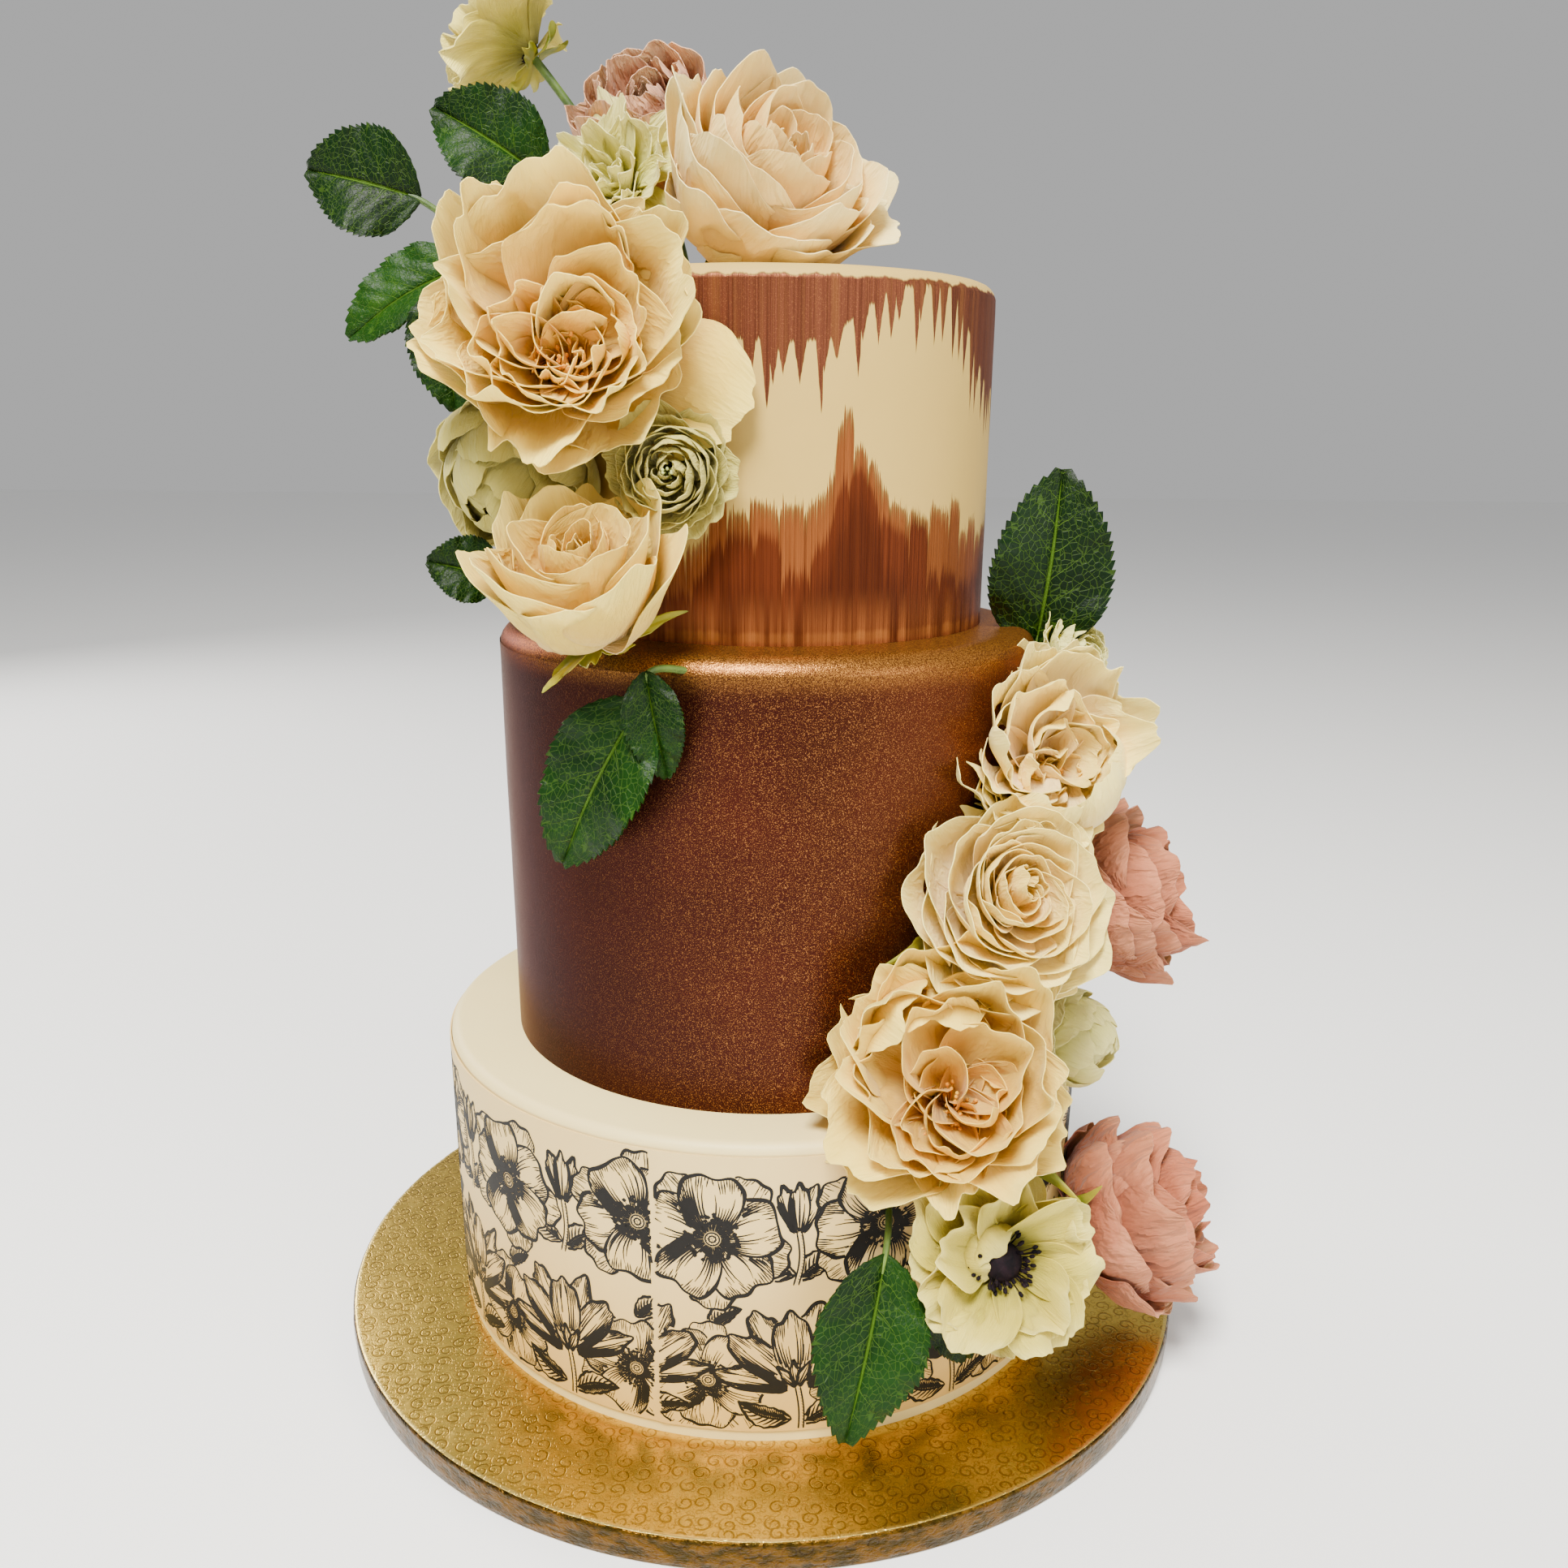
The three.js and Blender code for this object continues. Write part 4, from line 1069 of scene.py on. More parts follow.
def leaf_points(spec):
    """The blank's points in the leaf's own frame, in millimetres: X across, Y along, Z towards its face."""
    s, t = LEAF_BLANK[:, 0], (LEAF_BLANK[:, 1] + 1) / 2
    length = (place(*spec.tip) - place(*spec.foot)).length
    row = np.round(t * TEETH * ROWS_PER_TOOTH)
    tooth = (row % ROWS_PER_TOOTH) / ROWS_PER_TOOTH
    outline = 0.04 + 0.96 * np.sin(np.pi * t ** 0.8) ** 0.75
    half = spec.width / 2 * outline * (1 + 0.09 * tooth * np.abs(s) ** 8)
    across = s * half
    along = t * length + 0.035 * length * tooth * np.abs(s) ** 8
    rise = spec.bow * np.sin(np.pi * t) + np.abs(across) * math.tan(math.radians(spec.fold))
    wave = 0.05 * spec.width * s * np.sin(3 * np.pi * t) + 0.6 * s * s * np.sin(9 * np.pi * t + s)
    vein = VEIN_PAIRS * (t - VEIN_SLANT * np.abs(s) * outline)
    puff = 0.5 * np.abs(np.sin(np.pi * vein)) ** 0.7 * np.sin(np.pi * np.clip(np.abs(s), 0, 1)) ** 0.5
    groove = 0.7 * np.exp(-(across / 1.0) ** 2)
    return np.stack([across, along, rise + wave + puff - groove], axis=1)


def build_leaf(spec):
    obj = leaf_blank.copy()
    obj.data = leaf_blank.data.copy()
    bpy.context.scene.collection.objects.link(obj)
    foot, along = place(*spec.foot), (place(*spec.tip) - place(*spec.foot)).normalized()
    across = along.cross(direction(*spec.face)).normalized()
    basis = np.array([across, along, across.cross(along)])
    rows = leaf_points(spec) @ basis + np.array(foot)
    move_points(obj, rows * MM)
    apply_modifier(obj, "SOLIDIFY", thickness=LEAF_CLOTH * MM, offset=0)
    shade = obj.data.attributes.new("leaf_shade", "FLOAT", "POINT")
    shade.data.foreach_set("value", np.full(len(obj.data.vertices), spec.shade))
    length = (place(*spec.tip) - foot).length
    line = [foot + along * 0.1 * length, foot - along * 0.14 * length, place(*spec.root)]
    return join_parts([(obj, leaf_green), (stalk(line, *LEAF_STALK_RADII, sides=8), stalk_green)])


# %% [markdown]
# ## Leaf green
# Waxed cloth shines a little more than the petals. The colour runs from deep to grass green in soft patches, the
# veins are pale, and between them a net of finer veins shows: the edges of Voronoi cells on the leaf's UV map.

# %% Leaf material
def leaf_material():
    material, tree = new_material("leaf_green")
    uv, where = tree.own_map(), tree.where()
    split = tree.axes(uv)
    across = tree.away(tree.line(split[0], 2, -1))
    patches = tree.noise(where, 38, detail=3)
    green = tree.ramp(tree.line(tree.attribute("leaf_shade"), 0.4, tree.line(patches, 0.9, -0.25)),
                      [(0.0, "020f02"), (0.35, "041c02"), (0.65, "0f3203"), (1.0, "3c5c06")])
    spread = tree.times(tree.math("SINE", tree.times(split[1], math.pi)), VEIN_SLANT)
    along = tree.line(tree.times(across, spread), -1, split[1])
    wobble = tree.line(tree.noise(uv, 9), 0.3, tree.times(along, VEIN_PAIRS))
    off_vein = tree.away(tree.minus(tree.math("FRACT", wobble), 0.5))
    thin = tree.line(across, 0.02, 0.47)
    side_vein = tree.step(off_vein, thin, tree.plus(thin, 0.02))
    midrib = tree.rest(tree.step(across, 0.02, 0.045))
    cells = tree.add("ShaderNodeTexVoronoi", {
        "Vector": tree.add("ShaderNodeMapping", {"Vector": uv, "Scale": (17, 26, 1)}).outputs[0], "Scale": 1.0},
        feature="DISTANCE_TO_EDGE").outputs["Distance"]
    net = tree.rest(tree.step(cells, 0.02, 0.07))
    veins = tree.most(tree.most(side_vein, midrib), tree.times(net, 0.4))
    colour = tree.mix(tree.times(veins, 0.5), green, "527220")
    height = tree.minus(tree.noise(where, 900, detail=2), veins)
    tree.surface(Base_Color=colour, Roughness=0.42, Specular_IOR_Level=0.12,
                 Normal=tree.bump(height, 0.35 * MM, 0.7))
    return material


leaf_green = leaf_material()
for spec in LEAVES:
    finish(build_leaf(spec), spec.name + "_blade", "green_leaf", replaced=[spec.name])
bpy.data.objects.remove(leaf_blank)

# %% [markdown]
# ## Fondant and copper
# Plain fondant is satin and close to ivory. The middle tier was airbrushed with copper lustre: a brown-orange coat
# whose mica flakes sparkle, so its colour is broken by fine bright grains and its gloss varies with them. The top
# tier is ivory with the same copper paint dragged over it up and down by a nearly dry brush.

# %% Lustre group: copper colour and its grain
FLAKES = 2700  # mica flakes to the metre


def lustre_group():
    group, tree, given, result = new_group("copper lustre", ("Color", "Relief", "Roughness"), Streak=0.0)
    cloud = tree.noise(given["Vector"], 9, detail=3)
    grain = tree.noise(given["Vector"], FLAKES, detail=1, rough=0.6)
    body = tree.ramp(tree.line(given["Streak"], 0.5, cloud),
                     [(0.25, "260d0a"), (0.5, "37140e"), (0.75, "481b13"), (1.0, "68331e")])
    flake = tree.step(grain, 0.53, 0.74)
    tree.fill(result, Color=tree.mix(tree.times(flake, 0.45), body, "d08c4a"), Relief=grain,
              Roughness=tree.line(cloud, 0.12, tree.line(flake, -0.06, 0.24)))
    return group


LUSTRE = lustre_group()


def fondant_material():
    material, tree = new_material("ivory_fondant")
    where = tree.where()
    cloud, fine = tree.noise(where, 12), tree.noise(where, 260, detail=4)
    tree.surface(Base_Color=tree.mix(cloud, "e2ca84", "e7d394"), Roughness=0.5, Subsurface_Weight=0.08,
                 Subsurface_Radius=(1.0, 0.8, 0.6), Subsurface_Scale=0.003,
                 Normal=tree.bump(fine, 0.12 * MM, 0.5))
    return material


COPPER_EDGE = (0.46, 0.24, 0.15, 1)  # what copper paint reflects at a glancing angle
# Where each painted tone begins and is full: painted shade and painted light from left to right,
# and the painted highlight from below the shoulder to the top.
PLUM_SIDE, GOLD_SIDE, DUSTED = (-70 * MM, 50 * MM), (20 * MM, 120 * MM), (278 * MM, 291 * MM)


def copper_material():
    material, tree = new_material("copper_lustre")
    where = tree.where()
    lustre = tree.group(LUSTRE, Vector=where)
    dents = tree.noise(where, 60, detail=2)
    normal = tree.bump(lustre["Relief"], 0.2 * MM, 0.6, tree.bump(dents, 0.3 * MM, 0.4))
    # Painted shade and light: the left side is darkened to plum-brown as painted shade, and the right side is warmed
    # to gold as painted light.
    axes = tree.axes(where)
    across = tree.plus(axes[0], tree.times(tree.noise(where, 7, detail=2), 60 * MM))
    plum = tree.rest(tree.step(across, *PLUM_SIDE))
    colour = tree.mix(tree.times(plum, 0.85), lustre["Color"], "220c0c")
    colour = tree.mix(tree.times(tree.step(across, *GOLD_SIDE), 0.25), colour, "6c3a10")
    # A painted highlight: gold specks are brightened along the shoulder, where the light glints on its curve.
    specks = tree.step(tree.noise(where, 2300, detail=2), 0.44, 0.6)
    dust = tree.times(tree.step(axes[2], *DUSTED), tree.line(specks, 0.4, 0.08))
    colour = tree.mix(dust, colour, "e09a44")
    tree.surface(Base_Color=colour, Metallic=0.75, Roughness=lustre["Roughness"], Specular_Tint=COPPER_EDGE,
                 Specular_IOR_Level=0.3, Coat_Weight=0.04, Coat_Roughness=0.3, Normal=normal)
    return material


finish(tiers["tier_bottom"], "tier_bottom_fondant", "white_fondant", fondant_material(), ["tier_bottom"])
finish(tiers["tier_middle"], "tier_middle_fondant", "copper_fondant", copper_material(), ["tier_middle"])

# %% [markdown]
# ## The brushed top tier
# Two bands of copper leave a white one between them, and the line where each ends wanders up and down, so each line
# is a curve of height against azimuth. The upper band ends in drips like daggers: a one-dimensional Voronoi pattern
# round the tier gives each its middle, its width and, by the cell's own colour, its length. The lower band is laid in
# broad strokes over one another, thin and pale at their tops and dark where they overlap, and brush hairs, which are
# noise that is very fine round the tier and very long up it, break both.

# %% Paint edges
# (azimuth, height) of the drips' tips and of the strokes' tops; round the back they go on in the same way.
DRIP_TIPS = [(-180, 384), (-140, 372), (-100, 382), (-60, 376), (-30, 378), (-2, 372), (9, 372), (14, 375),
             (22, 383), (31, 389), (47, 390), (53, 380), (58, 374), (75, 360), (100, 376), (140, 388), (180, 384)]
STROKE_TOPS = [(-180, 340), (-150, 352), (-110, 334), (-70, 344), (-40, 326), (-20, 322), (-9, 340), (-3, 339),
               (5, 336), (12, 340), (15, 352), (19, 361), (24, 354), (29, 344), (38, 338), (48, 333), (60, 330),
               (90, 330), (120, 346), (150, 334), (180, 340)]
TOP_FOOT, TOP_TOP = TIERS["tier_top"][1], TIERS["tier_top"][2]
PAINT_STOP = 406.5 * MM  # the height where the brush left the shoulder
BARE_TOP = (68 * MM, 72 * MM)  # distances from the axis between which the top's bare fondant turns to paint
GILT_FOOT = (293 * MM, 312 * MM)  # heights between which the painted gold highlight at the foot fades out


def edge_curve(tree, share, points):
    """Height of a painted edge, from a curve over the share of the way round."""
    node = tree.add("ShaderNodeFloatCurve", {"Value": share})
    curve = node.mapping.curves[0]
    for k, (azimuth, height) in enumerate(points):
        at = ((azimuth + 180) / 360, (height - TOP_FOOT) / (TOP_TOP - TOP_FOOT))
        if k < 2:
            curve.points[k].location = at
        else:
            curve.points.new(*at)
    for point in curve.points:
        point.handle_type = "AUTO_CLAMPED"
    node.mapping.update()
    return tree.line(node.outputs[0], (TOP_TOP - TOP_FOOT) * MM, TOP_FOOT * MM)


# %% Brush marks group
def brush_group():
    """Places on the tier as it is unrolled, and marks that run up and down it."""
    group, tree, given, result = new_group("brush marks", (
        "Share", "Height", "Reach", "Hair", "Fine", "Broad", "Drip", "Stroke", "Stroke edge", "Coat", "Coat edge",
        "Base", "Base edge"))
    x, y, height = tree.axes(given["Vector"])
    angle = tree.math("ARCTAN2", x, tree.times(y, -1))
    share = tree.line(angle, 0.5 / math.pi, 0.5)
    unrolled = tree.vector(angle, height)
    reach = tree.math("SQRT", tree.plus(tree.times(x, x), tree.times(y, y)))
    tree.fill(result, Share=share, Height=height, Reach=reach)
    for title, round_scale, up_scale in (("Hair", 190, 9), ("Fine", 60, 6), ("Broad", 14, 3)):
        tree.put(result[title], tree.noise(unrolled, 1.0, detail=3, stretch=(round_scale, up_scale, 1)))

    def cells(count, offset, **values):
        """One-dimensional cells round the tier."""
        along = tree.line(share, count, offset)
        return tree.add("ShaderNodeTexVoronoi", {"W": along, "Scale": 1.0}, voronoi_dimensions="1D", **values).outputs

    drips = cells(118, 0.3)
    flank = tree.math("SUBTRACT", 1, tree.times(drips["Distance"], 2), clamp=True)
    length = tree.line(tree.own_value(drips), 0.75, 0.45)
    tree.put(result["Drip"], tree.times(tree.math("POWER", flank, 1.1), length))
    # A stroke is as wide as its cell and as tall as the cell's own value, and paint gathers along its two edges.
    for title, count, offset in (("Stroke", 62, 3.7), ("Coat", 47, 9.1), ("Base", 36, 5.3)):
        tree.put(result[title], tree.own_value(cells(count, offset)))
        inside = tree.step(cells(count, offset, feature="DISTANCE_TO_EDGE")["Distance"], 0.0, 0.13)
        tree.put(result[title + " edge"], tree.rest(inside))
    return group


BRUSH = brush_group()


# %% Brushed fondant
def brushed_material():
    material, tree = new_material("brushed_fondant")
    where = tree.where()
    middle = (TIERS["tier_top"][4] * MM, TIERS["tier_top"][5] * MM, 0)
    brush = tree.group(BRUSH, Vector=tree.offset(where, middle))
    height, hair, fine = brush["Height"], brush["Hair"], brush["Fine"]

    def lowered(edge, marks, length, offset, bristle):
        """An edge moved up by marks and by brush hairs; lengths in millimetres."""
        moved = tree.plus(edge, tree.line(marks, length * MM, offset * MM))
        return tree.line(tree.minus(hair, 0.5), bristle * MM, moved)

    upper = lowered(edge_curve(tree, brush["Share"], DRIP_TIPS), brush["Drip"], -19, 15, 5)
    tops = edge_curve(tree, brush["Share"], STROKE_TOPS)

    def stroke_top(title, length, offset, bristle):
        """Height at which a stroke ends; its edges end a little lower than its middle."""
        rounded = tree.line(brush[title + " edge"], -0.25, brush[title])
        return lowered(tops, rounded, length, offset, bristle)

    lower, coat, base = (stroke_top(*values) for values in (
        ("Stroke", 15, -7, 17), ("Coat", 20, -22, 20), ("Base", 20, -34, 24)))
    in_upper = tree.step(tree.minus(height, upper), -0.3 * MM, 0.6 * MM)
    below = tree.minus(lower, height)
    in_lower = tree.step(below, -0.4 * MM, 0.8 * MM)
    in_coat = tree.step(tree.minus(coat, height), -1.5 * MM, 3 * MM)
    in_base = tree.step(tree.minus(base, height), -7 * MM, 10 * MM)
    gathered = tree.times(tree.most(brush["Stroke edge"], tree.times(brush["Coat edge"], in_coat)),
                          tree.line(hair, 0.9, 0.1))
    # The tops of the lower strokes are so thin that the fondant shows between the hairs.
    dense = tree.step(tree.line(below, 1 / (26 * MM), hair), 0.36, 0.66)
    in_lower = tree.times(in_lower, tree.line(dense, 0.6, 0.4))
    wander = tree.line(tree.minus(brush["Broad"], 0.5), 5 * MM, PAINT_STOP)
    stop = tree.rest(tree.step(tree.minus(height, wander), -0.5 * MM, 0.5 * MM))
    side = tree.times(stop, tree.step(brush["Reach"], *BARE_TOP))
    paint = tree.times(tree.most(tree.most(in_upper, in_lower), in_coat), side)
    lustre = tree.group(LUSTRE, Vector=where, Streak=tree.minus(fine, 0.5))
    streak = tree.step(tree.line(hair, 0.6, tree.times(fine, 0.5)), 0.4, 0.75)
    rosy = tree.mix(tree.times(streak, 0.75), tree.mix(0.6, lustre["Color"], "7c4832"), "341710")
    sheen = tree.step(tree.line(fine, 0.5, brush["Broad"]), 0.7, 1.0)
    rosy = tree.mix(tree.times(sheen, 0.3), rosy, "a06a38")
    pale, dark, deep = (tree.mix(streak, light, shade) for light, shade in (
        ("8a5028", "643416"), ("612d16", "411a0d"), ("4e220f", "32130a")))
    patches = tree.line(hair, 0.5, tree.line(fine, 0.5, brush["Broad"]))
    # Painted highlight: gold patches near the foot and a bright line along it, where the light glints on the paint.
    gilt = tree.times(tree.rest(tree.step(height, *GILT_FOOT)), tree.step(patches, 0.8, 1.25))
    from_line = tree.away(tree.minus(height, tree.line(brush["Broad"], 5 * MM, TOP_FOOT * MM)))
    foot_line = tree.times(tree.rest(tree.step(from_line, 0.6 * MM, 2.6 * MM)),
                           tree.step(brush["Broad"], 0.35, 0.8))
    lower_copper = tree.mix(in_base, tree.mix(in_coat, pale, dark), deep)
    for mask, share, code in ((gathered, 0.55, "3a1204"), (gilt, 0.65, "aa6434"), (foot_line, 0.6, "bc7a3a")):
        lower_copper = tree.mix(tree.times(mask, share), lower_copper, code)
    copper = tree.mix(in_upper, lower_copper, rosy)
    ivory = tree.mix(tree.noise(where, 12), "ae914a", "ba9e58")
    relief = tree.times(paint, tree.line(hair, 0.8, 0.5))
    tree.surface(Base_Color=tree.mix(paint, ivory, copper), Metallic=tree.times(paint, 0.5),
                 Roughness=tree.line(paint, -0.16, 0.52), Specular_Tint=COPPER_EDGE,
                 Normal=tree.bump(relief, 0.45 * MM, 0.8))
    return material


finish(tiers["tier_top"], "tier_top_fondant", "brushed_fondant", brushed_material(), ["tier_top"])

# %% [markdown]
# ## Gold foil
# Foil is metal, so nearly all of its look is reflection. It is pressed with a small pattern of curls. Voronoi cells
# give each curl a middle, and where the distance from it and the angle round it run together the line is a spiral.
# The bump carries the curls, and a darker gold along their lines is painted shade in their pressed grooves; a
# broader bump makes the foil uneven.

# %% Foil material
FOIL_SIDE = (DRUM_RADIUS - 0.9, DRUM_RADIUS - 0.7)  # from the axis: where the top gives way to the side
FOIL_RIM = (DRUM_RADIUS - 2.4, DRUM_RADIUS - 1.8)  # and where the painted highlight on the fold between them begins


def foil_material():
    material, tree = new_material("gold_foil")
    whole = tree.where()
    axes = tree.axes(whole)
    reach = tree.math("SQRT", tree.line(axes[0], axes[0], tree.times(axes[1], axes[1])))
    side = tree.step(reach, *(from_edge * MM for from_edge in FOIL_SIDE))
    round_it = tree.times(tree.math("ARCTAN2", axes[0], axes[1]), DRUM_RADIUS * MM)
    unrolled = tree.vector(round_it, axes[2])
    where = tree.mix(side, whole, unrolled)  # the pattern lies flat on the top and runs round the side

    def curls(per_metre, turns, line):
        """Lines of spirals round the middles of cells: 1 on a line, 0 off it."""
        cells = tree.add("ShaderNodeTexVoronoi", {"Vector": where, "Scale": per_metre, "Randomness": 0.7},
                         voronoi_dimensions="2D").outputs
        axes = tree.axes(tree.offset(where, cells["Position"]))
        angle = tree.times(tree.math("ARCTAN2", axes[1], axes[0]), 0.5 / math.pi)
        own, distance = tree.own_value(cells), cells["Distance"]
        turn = tree.math("FRACT", tree.plus(tree.line(distance, turns, angle), own))
        on = tree.rest(tree.step(tree.away(tree.minus(turn, 0.5)), line, line + 0.12))
        ends = tree.times(tree.step(distance, 0.08, 0.14), tree.rest(tree.step(distance, 0.4, 0.5)))
        return tree.times(on, ends)

    pattern = tree.most(curls(135, 3.2, 0.09), tree.times(curls(310, 2.4, 0.1), 0.6))
    crumple = tree.noise(where, 130, detail=5, rough=0.65)
    broad = tree.noise(where, 14, detail=3)
    brushed = tree.noise(where, 420, detail=3)
    height = tree.line(pattern, -0.35, tree.times(crumple, 0.4))
    folds = tree.times(side, tree.noise(where, 110, detail=5, rough=0.7, stretch=(1, 1.8, 1)))
    creased = tree.step(folds, 0.42, 0.6)
    rim = tree.times(tree.step(reach, *(from_edge * MM for from_edge in FOIL_RIM)), tree.rest(side))
    normal = tree.bump(height, 0.3 * MM, 0.5, tree.bump(tree.line(folds, 1.6, broad), 3 * MM, 0.35))
    # Painted shade: the pressed lines of the curls are darkened.
    colour = tree.mix(tree.times(pattern, 0.7), tree.mix(brushed, "d0a83e", "debe58"), "84601a")
    # Painted reflection: the side is darkened, with lighter patches on the crumpled folds, for its dark and bright
    # reflections.
    colour = tree.mix(tree.times(side, 0.95), colour, tree.mix(creased, "140b03", "523409"))
    # Painted highlight: the fold round the rim is brightened.
    colour = tree.mix(tree.times(rim, 0.8), colour, "f6d878")
    tree.surface(Base_Color=colour, Metallic=1.0, Roughness=tree.line(crumple, 0.2, 0.16),
                 Normal=normal)
    return material


finish(drum, "drum_board", "drum_foil", foil_material(), ["drum"])

# %% Icing sheet
def icing_sheet_material():
    material, tree = new_material("icing_sheet")
    where = tree.where()
    tone = tree.noise(where, 18, detail=4)
    low = tree.rest(tree.step(tree.axes(where)[2], 15 * MM, 110 * MM))
    colour = tree.mix(tree.line(low, 0.5, tree.times(tone, 0.4)), "e0c480", "cc9e46")
    tree.surface(Base_Color=colour, Roughness=0.5, Normal=tree.bump(tree.noise(where, 400), 0.08 * MM, 0.5))
    return material


finish(wrap, "icing_sheet_wrap", "print_sheet", icing_sheet_material(), ["printed_wrap"])

# %% [markdown]
# ## The printed drawing
# The icing sheet carries a line drawing of wild roses, bellflowers, buds and leaves in black food ink, shaded by
# hatching as an engraving is. A bump or an image could carry it, but real lines stay sharp from any distance. Each
# pen stroke is a closed sliver with three sides, as wide as the pen pressed, whose flat side lies a hair above the
# sheet. All is drawn flat, in millimetres along the sheet and up it, and each stroke is rolled on to the tier. What
# lies in front is drawn first, and its outline then hides what is drawn behind it.

# %% A pen that draws on the flat sheet
SHEET_RADIUS = WRAP_RADIUS + WRAP_THICKNESS
SHEET_LENGTH = 2 * math.pi * SHEET_RADIUS
INK_PROUD, INK_SUNK = 0.08, 0.2
INK_MARGIN = 0.8  # the drawing is trimmed this far inside the sheet's edges
ANY_PHASE = (0, 6.28)


class Pen:
    """Collects strokes as points and faces, and knows the outlines that all pens have drawn so far."""
    outlines, lows, highs = [], np.empty((0, 2)), np.empty((0, 2))

    def __init__(self, seed):
        self.rng = np.random.default_rng(seed)
        self.points, self.faces, self.count = [], [], 0

    def cover(self, outline):
        """From now on, nothing is drawn inside this closed outline."""
        Pen.outlines.append(outline)
        Pen.lows = np.vstack([Pen.lows, outline.min(axis=0)])
        Pen.highs = np.vstack([Pen.highs, outline.max(axis=0)])

    def shown(self, path):
        """Which points of a path lie on the sheet and outside all covered outlines."""
        low, high = path.min(axis=0), path.max(axis=0)
        free = ((path[:, 0] > INK_MARGIN) & (path[:, 0] < SHEET_LENGTH - INK_MARGIN)
                & (path[:, 1] > WRAP_LOW + INK_MARGIN) & (path[:, 1] < WRAP_HIGH - INK_MARGIN))
        for k in np.flatnonzero((Pen.lows < high).all(axis=1) & (Pen.highs > low).all(axis=1)):
            a = Pen.outlines[k]
            b = np.roll(a, -1, axis=0)
            x, y = path[:, :1], path[:, 1:]
            rise = np.where(a[:, 1] == b[:, 1], 1e-9, b[:, 1] - a[:, 1])
            crossed = ((a[:, 1] > y) != (b[:, 1] > y)) & (x < a[:, 0] + (y - a[:, 1]) * (b[:, 0] - a[:, 0]) / rise)
            free &= crossed.sum(axis=1) % 2 == 0
        return free

    def stroke(self, path, width, taper_in=0.3, taper_out=0.3, swell=0.0):
        """Draws a line of (along, up) points; its ends thin out over a share of its length."""
        path = np.asarray(path, dtype=float)
        share = np.linspace(0, 1, len(path))
        press = np.minimum(1, (share + 0.02) / taper_in) * np.minimum(1, (1.02 - share) / taper_out)
        half = width / 2 * np.maximum(0.25, press ** 0.6)
        half = half * (1 + swell * np.sin(11 * share + self.rng.uniform(*ANY_PHASE)))
        free = self.shown(path)
        for run in np.split(np.arange(len(path)), np.flatnonzero(np.diff(free.astype(int))) + 1):
            if len(run) > 1 and free[run[0]]:
                self.sliver(path[run], half[run])

    def sliver(self, path, half):
        slope = np.gradient(path, axis=0)
        slope /= np.maximum(np.linalg.norm(slope, axis=1), 1e-9)[:, None]
        side = np.stack([-slope[:, 1], slope[:, 0]], axis=1) * half[:, None]
        flat = np.stack([path + side, path - side, path], axis=1).reshape(-1, 2)
        lift = np.tile([INK_PROUD, INK_PROUD, -INK_SUNK], len(path))
        turn = SEAM_AZIMUTH + np.degrees(flat[:, 0] / SHEET_RADIUS)
        radius = SHEET_RADIUS + lift + seam_lift(turn)
        angle = np.radians(turn)
        self.points.append(np.stack([radius * np.sin(angle), -radius * np.cos(angle), flat[:, 1]], axis=1))
        base, last = self.count, self.count + 3 * (len(path) - 1)
        for k in range(base, last, 3):
            for a, b in ((0, 1), (1, 2), (2, 0)):
                self.faces.append((k + a, k + b, k + b + 3, k + a + 3))
        self.faces += [(base, base + 2, base + 1), (last, last + 1, last + 2)]
        self.count += 3 * len(path)

    def dot(self, at, size):
        self.stroke([(at[0] - size / 2, at[1]), at, (at[0] + size / 2, at[1])], size, 0.5, 0.5)

    def mesh(self, name):
        obj = mesh_object(name, np.concatenate(self.points), self.faces)
        only(obj)
        bpy.ops.object.mode_set(mode="EDIT")
        bpy.ops.mesh.select_all(action="SELECT")
        bpy.ops.mesh.normals_make_consistent(inside=False)
        bpy.ops.object.mode_set(mode="OBJECT")
        return obj


# %% [markdown]
# ## Petals, flowers and leaves in pen and ink
# An engraver builds a shadow from lines that follow the form: long ones from the foot of a petal, short ones in from
# its rim, and crossed ones down the side that lies in shadow. One petal function draws all three, and the flowers
# are made of it, seen from the front or from the side.

# %% One inked petal
OUTLINE, HATCH = 1.25, 0.82  # how wide the pen draws, in millimetres
STAMENS, SEEDS = 120, 26


